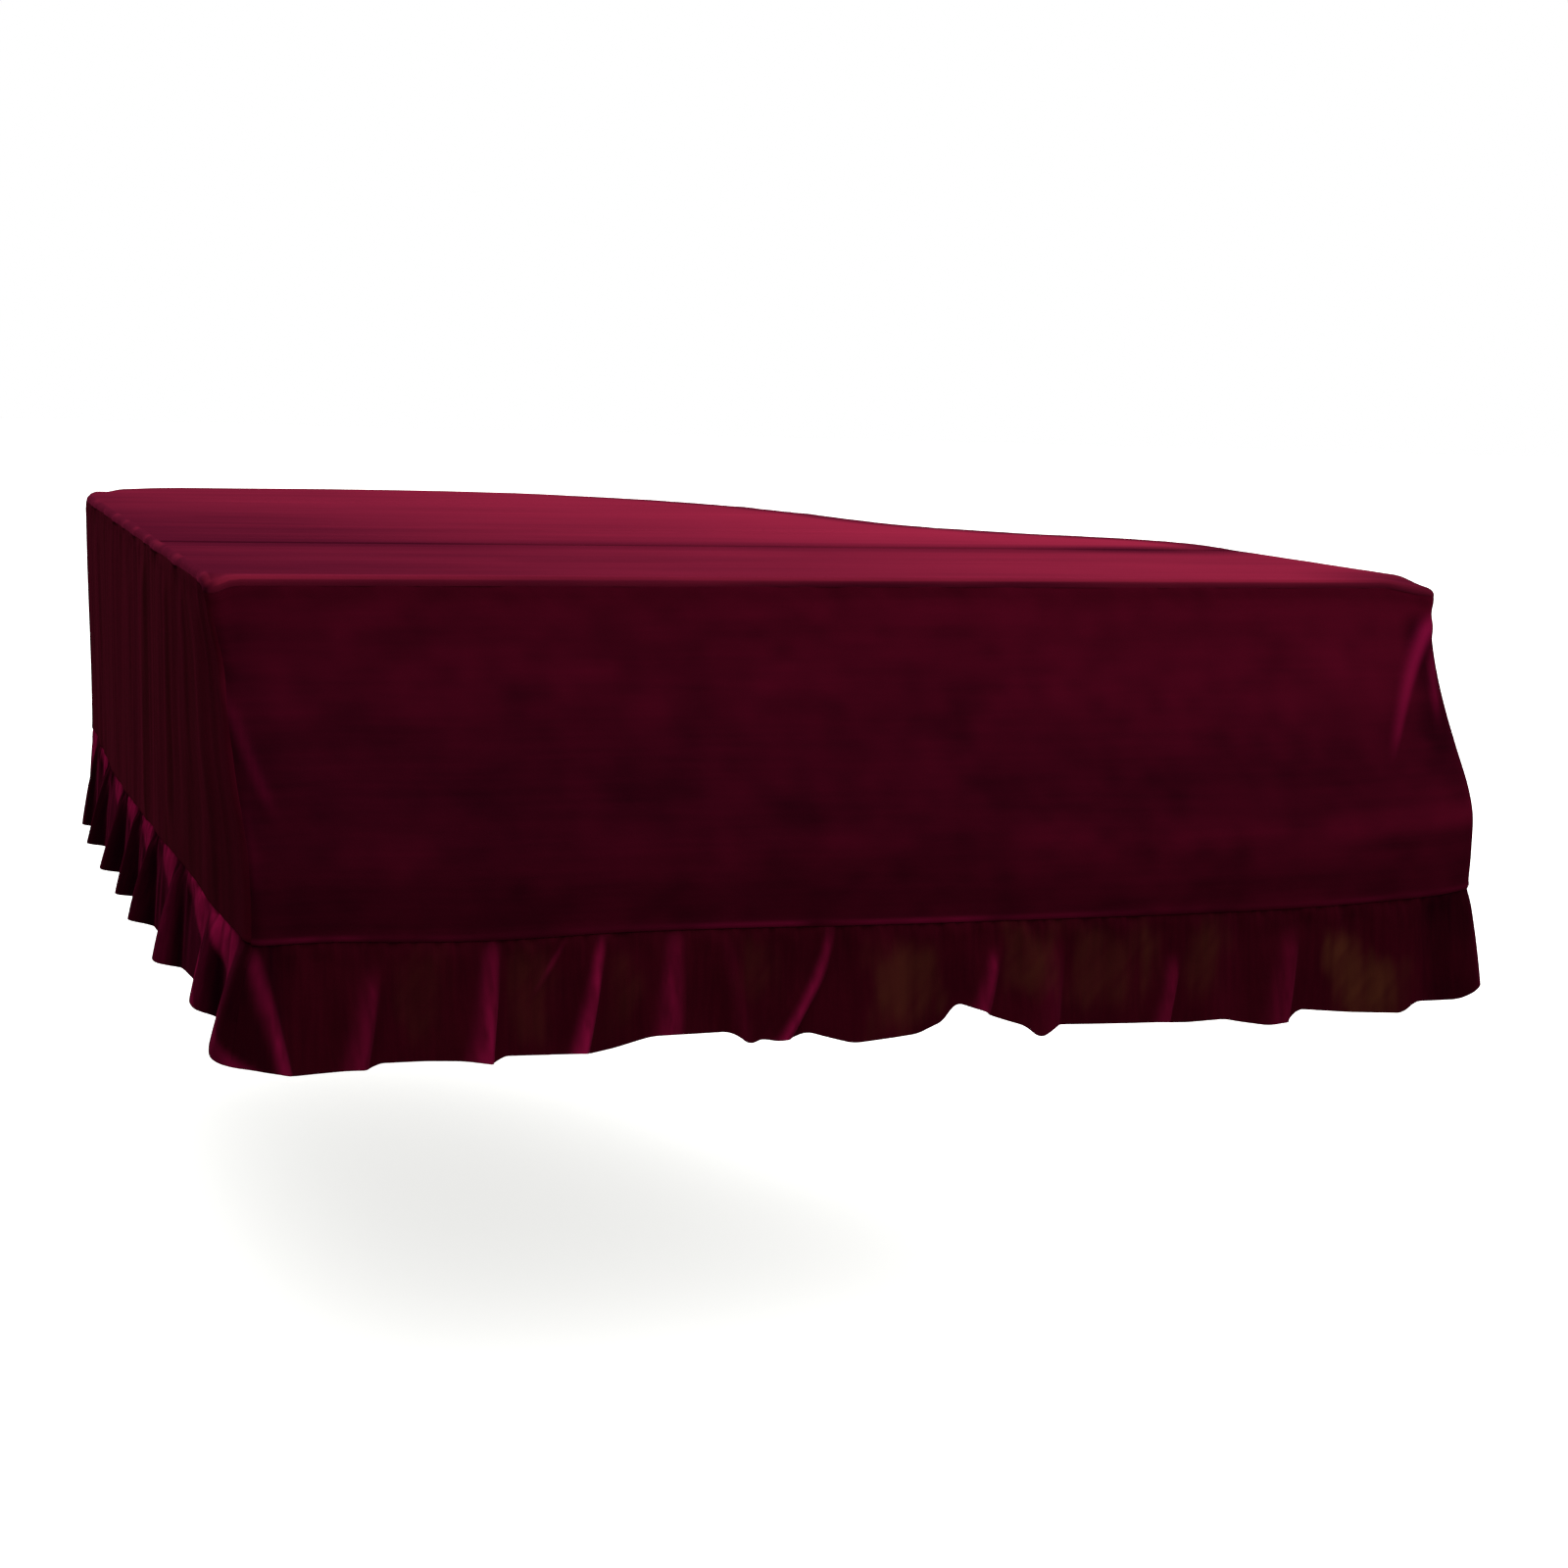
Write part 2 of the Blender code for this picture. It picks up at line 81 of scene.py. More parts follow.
def from_table(table: Table, key: np.ndarray | float, column: int = 1) -> np.ndarray:
    """Read a column of a table, with cubic joins that keep the slope from row to row.

    Args:
        table: Rows of numbers, the first of each row being the key.
        key: Where to read.
        column: Which column to read.

    Returns:
        The column's value at each key, held level past the ends.
    """
    rows = np.array(table, float)
    order = np.argsort(rows[:, 0])
    keys, values = rows[order, 0], rows[order, column]
    slopes = np.gradient(values, keys)
    key = np.clip(key, keys[0], keys[-1])
    row = np.clip(np.searchsorted(keys, key, side="right") - 1, 0, len(keys) - 2)
    span = keys[row + 1] - keys[row]
    t = (key - keys[row]) / span
    start = (2 * t**3 - 3 * t**2 + 1) * values[row] + (t**3 - 2 * t**2 + t) * span * slopes[row]
    end = (3 * t**2 - 2 * t**3) * values[row + 1] + (t**3 - t**2) * span * slopes[row + 1]
    return start + end


def ripples(across: np.ndarray, down: np.ndarray, pitch: tuple[float, float], seed: int) -> np.ndarray:
    """Return smooth uneven waves between -1 and 1, the same each run.

    Args:
        across: Distance along the cloth, in metres.
        down: Distance down the cloth, in metres.
        pitch: Spacing of the waves across and down, in metres.
        seed: Which set of waves.

    Returns:
        The height of the waves at each point.
    """
    lattice = np.random.default_rng(seed).uniform(-1.0, 1.0, (LATTICE, LATTICE))
    u, v = np.broadcast_arrays(across / pitch[0], down / pitch[1])
    iu, iv = np.floor(u).astype(int), np.floor(v).astype(int)
    fu, fv = ease(u - iu), ease(v - iv)
    corner = [lattice[(iu + a) % LATTICE, (iv + b) % LATTICE] for a in (0, 1) for b in (0, 1)]
    near = corner[0] * (1 - fv) + corner[1] * fv
    far = corner[2] * (1 - fv) + corner[3] * fv
    return near * (1 - fu) + far * fu


def spaced(start: float, end: float, pitch: float) -> np.ndarray:
    """Return places from start to end, no further apart than the pitch."""
    return np.linspace(start, end, max(2, math.ceil(abs(end - start) / pitch) + 1))


@dataclass(frozen=True)
class Waves:
    """One set of uneven waves of the cloth, or of its pile: height, spacing and slant."""

    height: float
    across: float
    down: float
    seed: int
    slant: float = 0.0

    def at(self, across: np.ndarray, down: np.ndarray | None = None) -> np.ndarray:
        """Return how high the waves stand.

        Args:
            across: Distances along the cloth, in metres.
            down: Distances down the cloth, left out for waves that run straight down it.

        Returns:
            The height of the waves at each point.
        """
        if down is None:
            down = across * 0.0
        pitch = (self.across, self.down)
        return self.height * ripples(across + self.slant * down, down, pitch, self.seed)


@dataclass(frozen=True)
class Fade:
    """A soft edge of an area: where it lies, and how long the change takes."""

    edge: float
    length: float

    def after(self, place: np.ndarray) -> np.ndarray:
        """Return 0 up to the edge, rising to 1 beyond it."""
        return ease((place - self.edge) / self.length)

    def before(self, place: np.ndarray) -> np.ndarray:
        """Return 1 well ahead of the edge, falling to 0 at it."""
        return ease((self.edge - place) / self.length)


@dataclass(frozen=True)
class Sway:
    """A steady unevenness of folds that repeat: how much, and how fast it comes and goes."""

    amount: float
    pace: float

    def at(self, count: int) -> float:
        """Return the unevenness of one of the folds."""
        return self.amount * math.sin(self.pace * count)


# ---------------------------------------------------------------- the lid's outline
class Side(Enum):
    """The sides of the cover, in the order in which the outline meets them."""

    FRONT = "front"
    CHEEK = "cheek"
    BENT = "bent"
    TAIL = "tail"
    SPINE = "spine"


# Bent side and tail in plan, from the end of the cheek round to the start of the spine.
BENT_SIDE = (
    # x, y
    (1.508, 0.590),
    (1.454, 0.692),
    (1.350, 0.765),
    (1.245, 0.855),
    (1.175, 0.990),
    (1.130, 1.190),
    (1.060, 1.400),
    (0.930, 1.580),
    (0.760, 1.690),
    (0.560, 1.735),
    (0.340, 1.722),
    (0.150, 1.682),
    (0.036, 1.585),
)


@dataclass
class LidOutline:
    """The lid's outline in plan, run anticlockwise from the middle of its front left corner."""

    width: float = 1.508
    cheek: float = 0.484
    spine: float = 1.440
    corner: float = 0.014
    tail_right: int = 7  # the rows of the bent side's table between which the tail lies
    tail_left: int = 12
    curve_steps: int = 40
    curve_lead: float = 0.100
    corner_points: int = 9
    look_round: float = 0.004
    path: np.ndarray = field(init=False)
    along: np.ndarray = field(init=False)
    ends: dict[Side, float] = field(init=False)

    def __post_init__(self) -> None:
        """Join the corners, straight sides and bent side, and note where each side ends."""
        near, far = self.corner, self.width - self.corner
        front = [*self._arc(near, SOUTH_WEST, SOUTH), *self._arc(far, SOUTH, SOUTH_EAST)]
        cheek = self._arc(far, SOUTH_EAST, EAST)[1:]
        close = self._arc(near, WEST, SOUTH_WEST)
        self.path = np.array([*front, *cheek, *self._bent_curve(), *close])
        lengths = np.hypot(*np.diff(self.path, axis=0).T)
        self.along = np.concatenate([[0.0], np.cumsum(lengths)])
        bent = len(front) + len(cheek)
        marks = [len(front) - 1, bent]
        marks += [bent + (row + 1) * self.curve_steps for row in (self.tail_right, self.tail_left)]
        self.ends = dict(zip(Side, [*self.along[marks], self.along[-1]]))

    @property
    def end(self) -> float:
        """Return the length of the whole outline."""
        return self.along[-1]

    @property
    def half_corner(self) -> float:
        """Return the length of half a front corner's arc."""
        return self.corner * math.pi / 4

    def start_of(self, side: Side) -> float:
        """Return where a side starts on the outline."""
        order = list(Side)
        return 0.0 if side is Side.FRONT else self.ends[order[order.index(side) - 1]]

    def _arc(self, centre_x: float, start: float, end: float) -> list[tuple[float, float]]:
        """Work out the arc of a front corner.

        Args:
            centre_x: Where the arc's centre lies across the lid.
            start: The direction in which the arc starts, in degrees.
            end: The direction in which it ends.

        Returns:
            Points of the arc.
        """
        angles = np.radians(np.linspace(start, end, self.corner_points))
        x = centre_x + self.corner * np.cos(angles)
        y = self.corner + self.corner * np.sin(angles)
        return list(zip(x, y))

    def _bent_curve(self) -> list[tuple[float, float]]:
        """Run the bent side and tail as one smooth curve through their knots.

        Each stretch is a cubic whose slope at a knot is that between the knots on either side.

        Returns:
            Points of the curve, from the end of the cheek to the start of the spine.
        """
        cheek_end, spine_start = (self.width, self.cheek), (0.0, self.spine)
        before = (self.width, self.cheek - self.curve_lead)
        after = (0.0, self.spine - self.curve_lead)
        knots = np.array([before, cheek_end, *BENT_SIDE, spine_start, after])
        points = []
        for k in range(1, len(knots) - 2):
            p0, p1, p2, p3 = knots[k - 1 : k + 3]
            for t in np.arange(self.curve_steps) / self.curve_steps:
                bend = 2 * p1 + (p2 - p0) * t + (2 * p0 - 5 * p1 + 4 * p2 - p3) * t**2
                points.append(tuple(0.5 * (bend + (3 * p1 - p0 - 3 * p2 + p3) * t**3)))
        return [*points, spine_start]

    def at(self, s: np.ndarray) -> np.ndarray:
        """Return the plan position at a distance along the outline."""
        s = np.mod(s, self.end)
        return np.stack([np.interp(s, self.along, self.path[:, axis]) for axis in (0, 1)], axis=-1)

    def outward(self, s: np.ndarray) -> np.ndarray:
        """Work out which way is out of the outline.

        Args:
            s: Distances along the outline.

        Returns:
            A unit vector in plan at each distance.
        """
        step = self.at(s + self.look_round) - self.at(s - self.look_round)
        step /= np.hypot(step[..., 0], step[..., 1])[..., None]
        return np.stack([step[..., 1], -step[..., 0]], axis=-1)

    def offset(self, s: np.ndarray, centre: float) -> np.ndarray:
        """Return how far a place lies from a centre, the shorter way round."""
        return (s - centre + self.end / 2) % self.end - self.end / 2

    def front_s(self, x: float) -> float:
        """Return where a point of the keyboard side lies on the outline."""
        return x - self.corner + self.half_corner

    def spine_s(self, y: float) -> float:
        """Return where a point of the bass side lies on the outline."""
        return self.end - (y - self.corner) - self.half_corner


# ---------------------------------------------------------------- folds, placed one by one
@dataclass(frozen=True)
class Fold:
    """An upright fold of a fall: its place along the side at its top and foot, and its size.

    Its top and foot are depths. The glow is a painted highlight along its crest, and the fade is
    how much of that is lost by the foot. A blade is a slack fold that narrows toward its foot.
    """

    at_top: float
    at_foot: float
    half_width: float
    height: float
    top: float
    foot: float
    glow: float = 0.0
    fade: float = 0.6
    blade: bool = False


@dataclass(frozen=True)
class Ridge:
    """A pleat of the ruffle: where it leaves the seam and meets the hem, and its size there.

    Its slopes reach some way before and beyond its crest. The lean carries the crest along the
    side, and the bend bows it. It runs from its start to its stop, shares of the ruffle's depth.
    The glow is a painted highlight along its crest, and the shoulder is one on the slope before it.
    """

    at_seam: float
    at_hem: float
    before: float
    beyond: float
    height: float
    lean: float = 0.0
    glow: float = 0.0
    bend: float = 0.0
    start: float = 0.0
    stop: float = 1.0
    shoulder: float = 0.0


@dataclass(frozen=True)
class Patch:
    """A flat of the ruffle where the pile is crushed and its brown ground shows.

    Its top and foot are shares of the ruffle's depth, and a slant makes its top run downhill.
    """

    at_seam: float
    at_hem: float
    half_width: float
    top: float
    foot: float
    strength: float
    slant: float = 0.0


@dataclass(frozen=True)
class DarkBand:
    """A band of painted shade across the top panel, darkest along the crease.

    It runs from its place at the bass side to its place at the treble side, between its start and
    its stop across the lid, and keeps a share of how light the flat is painted.
    """

    at_bass: float
    at_treble: float
    half_width: float
    start: float
    stop: float
    keep: float


FRONT_FOLDS = (
    # at top, at foot, half width, height, top, foot, glow, fade
    Fold(0.055, 0.055, 0.050, 0.006, 0.11, 0.26),
    Fold(-0.008, 0.042, 0.013, 0.003, 0.09, 0.27, 0.06, -0.4),
    Fold(0.004, 0.010, 0.010, 0.001, 0.20, 0.36, 0.05, 0.0),
    Fold(1.518, 1.388, 0.018, 0.006, 0.01, 0.235, 0.60, 0.9, blade=True),
    Fold(1.500, 1.480, 0.011, 0.003, 0.06, 0.20, 0.26),
)
SPINE_FOLDS = (
    # at top, at foot, half width, height, top, foot, glow
    Fold(1.270, 1.250, 0.060, 0.002, 0.02, 0.40, 0.04),
    Fold(1.000, 0.990, 0.060, 0.002, 0.02, 0.40, 0.03),
    Fold(0.780, 0.760, 0.055, 0.002, 0.05, 0.40, 0.02),
    Fold(0.595, 0.580, 0.050, 0.003, 0.02, 0.40, 0.04),
    Fold(0.360, 0.350, 0.030, 0.003, 0.01, 0.36, 0.09),
    Fold(0.225, 0.250, 0.040, 0.002, 0.02, 0.40, 0.03),
    Fold(0.110, 0.140, 0.040, 0.002, 0.02, 0.40, 0.02),
)
FRONT_RIDGES = (
    # at seam, at hem, before, beyond, height, lean, glow, bend
    Ridge(0.031, 0.028, 0.075, 0.050, 0.028, shoulder=0.50),
    Ridge(0.036, 0.062, 0.022, 0.016, 0.012, 0.004, 0.32),
    Ridge(0.166, 0.141, 0.050, 0.022, 0.016, 0.008, 0.18, start=0.25),
    Ridge(0.289, 0.277, 0.048, 0.022, 0.022, 0.010, 0.36),
    Ridge(0.370, 0.290, 0.014, 0.012, 0.006, 0.000, 0.20, stop=0.55),
    Ridge(0.410, 0.384, 0.030, 0.018, 0.018, 0.006, 0.50),
    Ridge(0.492, 0.482, 0.045, 0.034, 0.014, 0.004, 0.26),
    Ridge(0.550, 0.570, 0.030, 0.020, 0.007, 0.000, 0.04),
    Ridge(0.674, 0.618, 0.022, 0.020, 0.016, 0.004, 0.38, 0.010),
    Ridge(0.745, 0.735, 0.070, 0.050, 0.012, 0.004, 0.00),
    Ridge(0.886, 0.862, 0.030, 0.020, 0.014, 0.004, 0.28, start=0.30),
    Ridge(0.956, 0.950, 0.055, 0.030, 0.016, 0.008, 0.06, start=0.20),
    Ridge(1.124, 1.104, 0.032, 0.020, 0.012, 0.006, 0.20, start=0.40),
    Ridge(1.180, 1.180, 0.050, 0.040, 0.006, 0.000, 0.02),
    Ridge(1.276, 1.262, 0.060, 0.030, 0.018, 0.008, 0.14, start=0.20),
    Ridge(1.440, 1.446, 0.090, 0.050, 0.010, 0.004, 0.00),
)
SPINE_RIDGES = (
    # at seam, at hem, before, beyond, height, lean, glow
    Ridge(1.330, 1.345, 0.080, 0.060, 0.018, 0.008, 0.03, shoulder=0.10),
    Ridge(1.123, 1.115, 0.090, 0.060, 0.026, 0.010, 0.03, shoulder=0.10),
    Ridge(0.863, 0.865, 0.090, 0.060, 0.026, 0.010, 0.04, shoulder=0.10),
    Ridge(0.672, 0.665, 0.080, 0.055, 0.026, 0.010, 0.05, shoulder=0.15),
    Ridge(0.478, 0.470, 0.080, 0.055, 0.026, 0.010, 0.10, shoulder=0.25),
    Ridge(0.276, 0.285, 0.075, 0.055, 0.024, 0.010, 0.30, shoulder=0.40),
    Ridge(0.106, 0.110, 0.065, 0.045, 0.022, 0.008, 0.20, shoulder=0.85),
)
# Bands of painted shade across the top panel, darkest along the crease.
TOP_BANDS = (
    # at bass, at treble, half width, start, stop, keep
    DarkBand(0.482, 0.455, 0.105, -0.30, 1.80, 0.05),
    DarkBand(0.690, 0.745, 0.085, -0.10, 0.60, 0.45),
    DarkBand(0.940, 1.000, 0.045, -0.05, 0.30, 0.60),
    DarkBand(0.130, 0.150, 0.045, -0.10, 0.40, 0.60),
    DarkBand(0.600, 0.590, 0.030, 0.60, 1.30, 0.90),
)
# Painted light on the top panel, lighter towards the treble side: at the bass edge, and how much more a
# metre across.
TOP_LIGHT = (
    # y, at the bass edge, more a metre
    (0.00, 0.05, 0.52),
    (0.40, 0.05, 0.52),
    (0.60, 0.00, 0.72),
    (0.90, 0.06, 0.70),
    (1.30, 0.27, 0.48),
    (1.70, 0.30, 0.42),
)
# Painted light and shade on the keyboard side, at its bass end and its treble end.
FRONT_LIGHT = (
    # depth, bass end, treble end
    (0.00, 0.70, 1.05),
    (0.03, 0.55, 1.05),
    (0.06, 0.32, 0.80),
    (0.10, 0.28, 0.68),
    (0.18, 0.14, 0.38),
    (0.26, 0.16, 0.34),
    (0.29, 0.26, 0.46),
    (0.33, 0.18, 0.36),
    (0.38, 0.16, 0.36),
)
# The painted highlight where the front fall's lower edge catches the light, along the keyboard side.
SEAM_GLOW = (
    # distance from the bass end, glow
    (0.00, 0.45),
    (0.08, 0.70),
    (0.14, 0.35),
    (0.30, 0.40),
    (0.46, 0.55),
    (0.60, 0.80),
    (0.86, 0.85),
    (0.98, 0.35),
    (1.12, 0.10),
    (1.26, 0.15),
    (1.36, 0.45),
    (1.50, 0.55),
)
BROWN_PATCHES = (
    # at seam, at hem, half width, top, foot, strength, slant
    Patch(0.215, 0.210, 0.036, 0.00, 1.00, 0.20),
    Patch(0.330, 0.325, 0.036, 0.00, 1.00, 0.26),
    Patch(0.440, 0.425, 0.026, 0.10, 1.00, 0.32),
    Patch(0.585, 0.590, 0.032, 0.00, 0.70, 0.22),
    Patch(0.770, 0.765, 0.056, 0.10, 1.10, 0.58),
    Patch(0.925, 0.922, 0.040, -0.05, 0.75, 0.52),
    Patch(1.020, 1.016, 0.056, 0.00, 0.95, 0.36),
    Patch(1.078, 1.076, 0.020, 0.00, 0.78, 0.62),
    Patch(1.158, 1.155, 0.030, 0.00, 0.85, 0.40),
    Patch(1.376, 1.384, 0.062, 0.32, 1.15, 1.00, 0.20),
)
# How deep the hem hangs along the keyboard side.
HEM_FRONT = (
    # x, depth
    (-0.030, 0.501),
    (0.030, 0.503),
    (0.069, 0.512),
    (0.128, 0.510),
    (0.153, 0.511),
    (0.162, 0.504),
    (0.216, 0.505),
    (0.253, 0.508),
    (0.287, 0.515),
    (0.297, 0.505),
    (0.394, 0.509),
    (0.424, 0.504),
    (0.462, 0.494),
    (0.555, 0.494),
    (0.580, 0.512),
    (0.592, 0.504),
    (0.614, 0.510),
    (0.648, 0.500),
    (0.702, 0.517),
    (0.783, 0.511),
    (0.816, 0.497),
    (0.828, 0.476),
    (0.852, 0.487),
    (0.915, 0.510),
    (0.932, 0.527),
    (0.959, 0.511),
    (1.136, 0.519),
    (1.180, 0.518),
    (1.238, 0.530),
    (1.272, 0.527),
    (1.286, 0.512),
    (1.359, 0.520),
    (1.430, 0.526),
    (1.448, 0.512),
    (1.509, 0.513),
    (1.545, 0.500),
)
# How much further the hem hangs than the ruffle's mean depth, along the bass side.
HEM_SPINE = (
    # y, extra
    (0.000, -0.014),
    (0.106, -0.026),
    (0.280, -0.012),
    (0.480, -0.022),
    (0.680, -0.019),
    (0.860, -0.019),
    (1.120, -0.011),
    (1.330, 0.006),
    (1.440, 0.013),
    (1.585, 0.000),
)


@dataclass
class Drape:
    """How the cloth hangs from the lid: what draws it down, forward and across."""

    lid: LidOutline
    # The cloth and its seams.
    cloth: float = 2.0 * MM
    allowance: float = 5.0 * MM
    allowance_step: float = 0.5 * MM
    tuck_behind: float = 2.2 * MM
    seam_gap: float = 0.3 * MM
    corner_gap: float = 0.2 * MM
    seam_depth: float = 0.374
    ruffle_depth: float = 0.128
    # The lid and its edge, which the top panel rolls over.
    setback: float = 0.850
    edge_radius: float = 8.0 * MM
    turn_down: float = 1.5 * MM
    crease_at: float = 0.469
    crease_half: float = 15.0 * MM
    corner_point: float = 3.5 * MM
    point_half: float = 28.0 * MM
    stitch_reach: float = 30.0 * MM
    # How the upright folds start and end, and how a blade narrows.
    fold_start: float = 50.0 * MM
    fold_end: float = 60.0 * MM
    blade_width: float = 1.6
    blade_taper: float = 1.1
    blade_swell: float = 0.3
    # The fine folds: level on the front, upright elsewhere, and stitched below the rim.
    level_waves: tuple[Waves, ...] = (
        Waves(0.5 * MM, 0.35, 0.040, 12),
        Waves(0.3 * MM, 0.12, 0.016, 13),
        Waves(0.4 * MM, 0.05, 0.60, 15),
    )
    upright_waves: tuple[Waves, ...] = (
        Waves(1.1 * MM, 0.034, 0.50, 11, slant=0.05),
        Waves(0.5 * MM, 0.014, 0.20, 14, slant=-0.08),
    )
    stitched_waves: Waves = Waves(0.8 * MM, 0.011, 0.40, 16)
    calm_corner: float = 50.0 * MM
    # How far down the falls keep the rim's line, and how they lean below that.
    rim_hold: float = 12.0 * MM
    side_pull: float = 0.400
    side_skew: float = 0.500
    far_lean: float = 6.0 * MM
    far_from: float = 0.90
    far_full: float = 1.40
    dip_fade: float = 0.120
    # How far down the ruffle keeps the seam's line, and how it flares below that.
    seam_hold: float = 15.0 * MM
    ruffle_flare: float = 8.0 * MM
    # The folds and pleats of the hidden sides, with painted highlights along their crests.
    hidden_pitch: float = 0.195
    hidden_width: float = 80.0 * MM
    hidden_fold: float = 7.0 * MM
    hidden_top: float = 6.0 * MM
    hidden_past: float = 30.0 * MM
    hidden_glow: float = 0.06
    first_fold: float = 0.6
    fold_place: Sway = Sway(0.2, 2.3)
    fold_height: Sway = Sway(0.3, 1.7)
    hidden_ridge: float = 28.0 * MM
    ridge_beyond: float = 0.7
    ridge_lean: float = 10.0 * MM
    ridge_glow: float = 0.25
    corner_ridge: float = 0.6
    pleat_place: Sway = Sway(0.1, 2.1)
    pleat_slant: Sway = Sway(0.05, 1.3)
    pleat_height: Sway = Sway(0.2, 2.9)
    # The hem: it rises where a pleat stands out, and its corners are rounded over a few places.
    corner_blend: float = 50.0 * MM
    hem_rise: float = 0.29
    hem_waves: Waves = Waves(4.0 * MM, 0.06, 1.0, 21)
    hem_soften: tuple[float, ...] = (-7.0 * MM, -3.5 * MM, 0.0, 3.5 * MM, 7.0 * MM)
    # How far forward of the lid the cloth of the keyboard side hangs.
    front_section: Table = (
        # depth, reach
        (0.000, 0.000),
        (0.030, -0.001),
        (0.060, 0.004),
        (0.160, 0.040),
        (0.255, 0.079),
        (0.290, 0.089),
        (0.330, 0.092),
        (0.374, 0.090),
        (0.520, 0.096),
    )
    # How far the cloth is drawn towards the treble side, at the two front corners.
    corner_skew: Table = (
        # depth, left, right
        (0.000, 0.000, 0.002),
        (0.045, 0.006, 0.002),
        (0.085, 0.013, 0.002),
        (0.130, 0.016, 0.004),
        (0.200, 0.019, 0.014),
        (0.275, 0.028, 0.026),
        (0.315, 0.030, 0.025),
        (0.374, 0.031, 0.026),
        (0.520, 0.028, 0.034),
    )
    # How far the ruffle's seam hangs below its mean depth, along the keyboard side.
    seam_sag_front: Table = (
        # x, drop
        (0.000, -0.001),
        (0.077, -0.002),
        (0.179, 0.003),
        (0.253, 0.005),
        (0.400, 0.003),
        (0.561, 0.005),
        (0.678, 0.008),
        (0.860, 0.011),
        (1.115, 0.014),
        (1.249, 0.014),
        (1.387, 0.010),
        (1.458, 0.006),
        (1.508, -0.001),
    )
    # The same along the bass side.
    seam_sag_spine: Table = (
        # y, drop
        (0.000, -0.003),
        (0.100, -0.006),
        (0.220, -0.017),
        (0.490, -0.016),
        (0.730, -0.007),
        (1.120, 0.002),
        (1.380, -0.003),
    )
    # Where the corners draw the cloth down.
    corner_dips: Table = (
        # x, y, drop, reach
        (0.000, 0.000, 0.009, 0.032),
        (1.508, 0.000, 0.010, 0.080),
        (0.036, 1.585, 0.003, 0.050),
    )

    @property
    def head(self) -> float:
        """Return the depth of the falls' upper edge."""
        return self.edge_radius + self.turn_down + self.seam_gap

    @property
    def hem_depth(self) -> float:
        """Return the mean depth of the ruffle's hem."""
        return self.seam_depth + self.ruffle_depth

    def dips(self, plan: np.ndarray, depth: np.ndarray) -> np.ndarray:
        """Work out how far the cloth is drawn down near the corners.

        Args:
            plan: Plan positions.
            depth: Depths below the top panel.

        Returns:
            The drop at each point, in metres.
        """
        drawn_down = np.zeros(plan.shape[:-1])
        for x, y, drop, reach in self.corner_dips:
            drawn_down = drawn_down + drop * hump(np.hypot(plan[..., 0] - x, plan[..., 1] - y), reach)
        return drawn_down * (1.0 - ease(depth / self.dip_fade))

    def clear_of_corners(self, s: np.ndarray, reach: float) -> np.ndarray:
        """Tell the front corners from the rest of the outline.

        Args:
            s: Distances along the outline.
            reach: How far from a corner its hold on the cloth ends.

        Returns:
            0 at the two front corners, rising to 1 at the reach.
        """
        near = np.abs(self.lid.offset(s, 0.0))
        far = np.abs(self.lid.offset(s, self.lid.ends[Side.FRONT]))
        return ease(np.minimum(near, far) / reach)

    def fold_rows(self) -> list[tuple[float, float, Fold]]:
        """List the falls' upright folds: those given one by one, and those of the hidden sides.

        Returns:
            For each fold, its places along the outline at its top and at its foot, and its sizes.
        """
        rows = [(self.lid.front_s(f.at_top), self.lid.front_s(f.at_foot), f) for f in FRONT_FOLDS]
        rows += [(self.lid.spine_s(f.at_top), self.lid.spine_s(f.at_foot), f) for f in SPINE_FOLDS]
        start = self.lid.ends[Side.CHEEK]
        foot = self.seam_depth + self.hidden_past
        for k in range(int((self.lid.ends[Side.TAIL] - start) / self.hidden_pitch)):
            centre = start + (k + self.first_fold + self.fold_place.at(k)) * self.hidden_pitch
            height = self.hidden_fold * (1.0 + self.fold_height.at(k))
            sizes = (self.hidden_width, height, self.hidden_top, foot, self.hidden_glow)
            rows.append((centre, centre, Fold(0.0, 0.0, *sizes)))
        return rows

    def folds(self, s: np.ndarray, depth: np.ndarray) -> tuple[np.ndarray, np.ndarray]:
        """Work out the upright folds of the falls.

        Args:
            s: Distances along the outline.
            depth: Depths below the top panel.

        Returns:
            How far the folds stand out, and the painted highlight along their crests.
        """
        out = np.zeros(s.shape)
        glow = np.zeros(s.shape)
        for top, foot, fold in self.fold_rows():
            share = (depth - fold.top) / (fold.foot - fold.top)
            along = np.clip(share, 0.0, 1.0)
            shown = ease((depth - fold.top) / self.fold_start) * ease((fold.foot - depth) / self.fold_end)
            width, swell = 1.0, 1.0
            if fold.blade:
                width = self.blade_width - self.blade_taper * along
                swell = ease(share / self.blade_swell)
            offset = self.lid.offset(s, top + (foot - top) * share)
            shape = hump(offset, fold.half_width * width) * shown
            out = out + fold.height * shape * swell
            glow = np.maximum(glow, fold.glow * shape**2 * (1.0 - fold.fade * along))
        return out, glow

    def point(self, s: np.ndarray) -> np.ndarray:
        """Return how far the treble corner of the rim is drawn out to a point."""
        return self.corner_point * hump(s - self.lid.ends[Side.FRONT], self.point_half)

    def below_rim(self, depth: np.ndarray) -> np.ndarray:
        """Return how much of the rim's seam a fall still shows: 1 at its head, 0 past its reach."""
        return 1.0 - ease((depth - self.head) / self.stitch_reach)

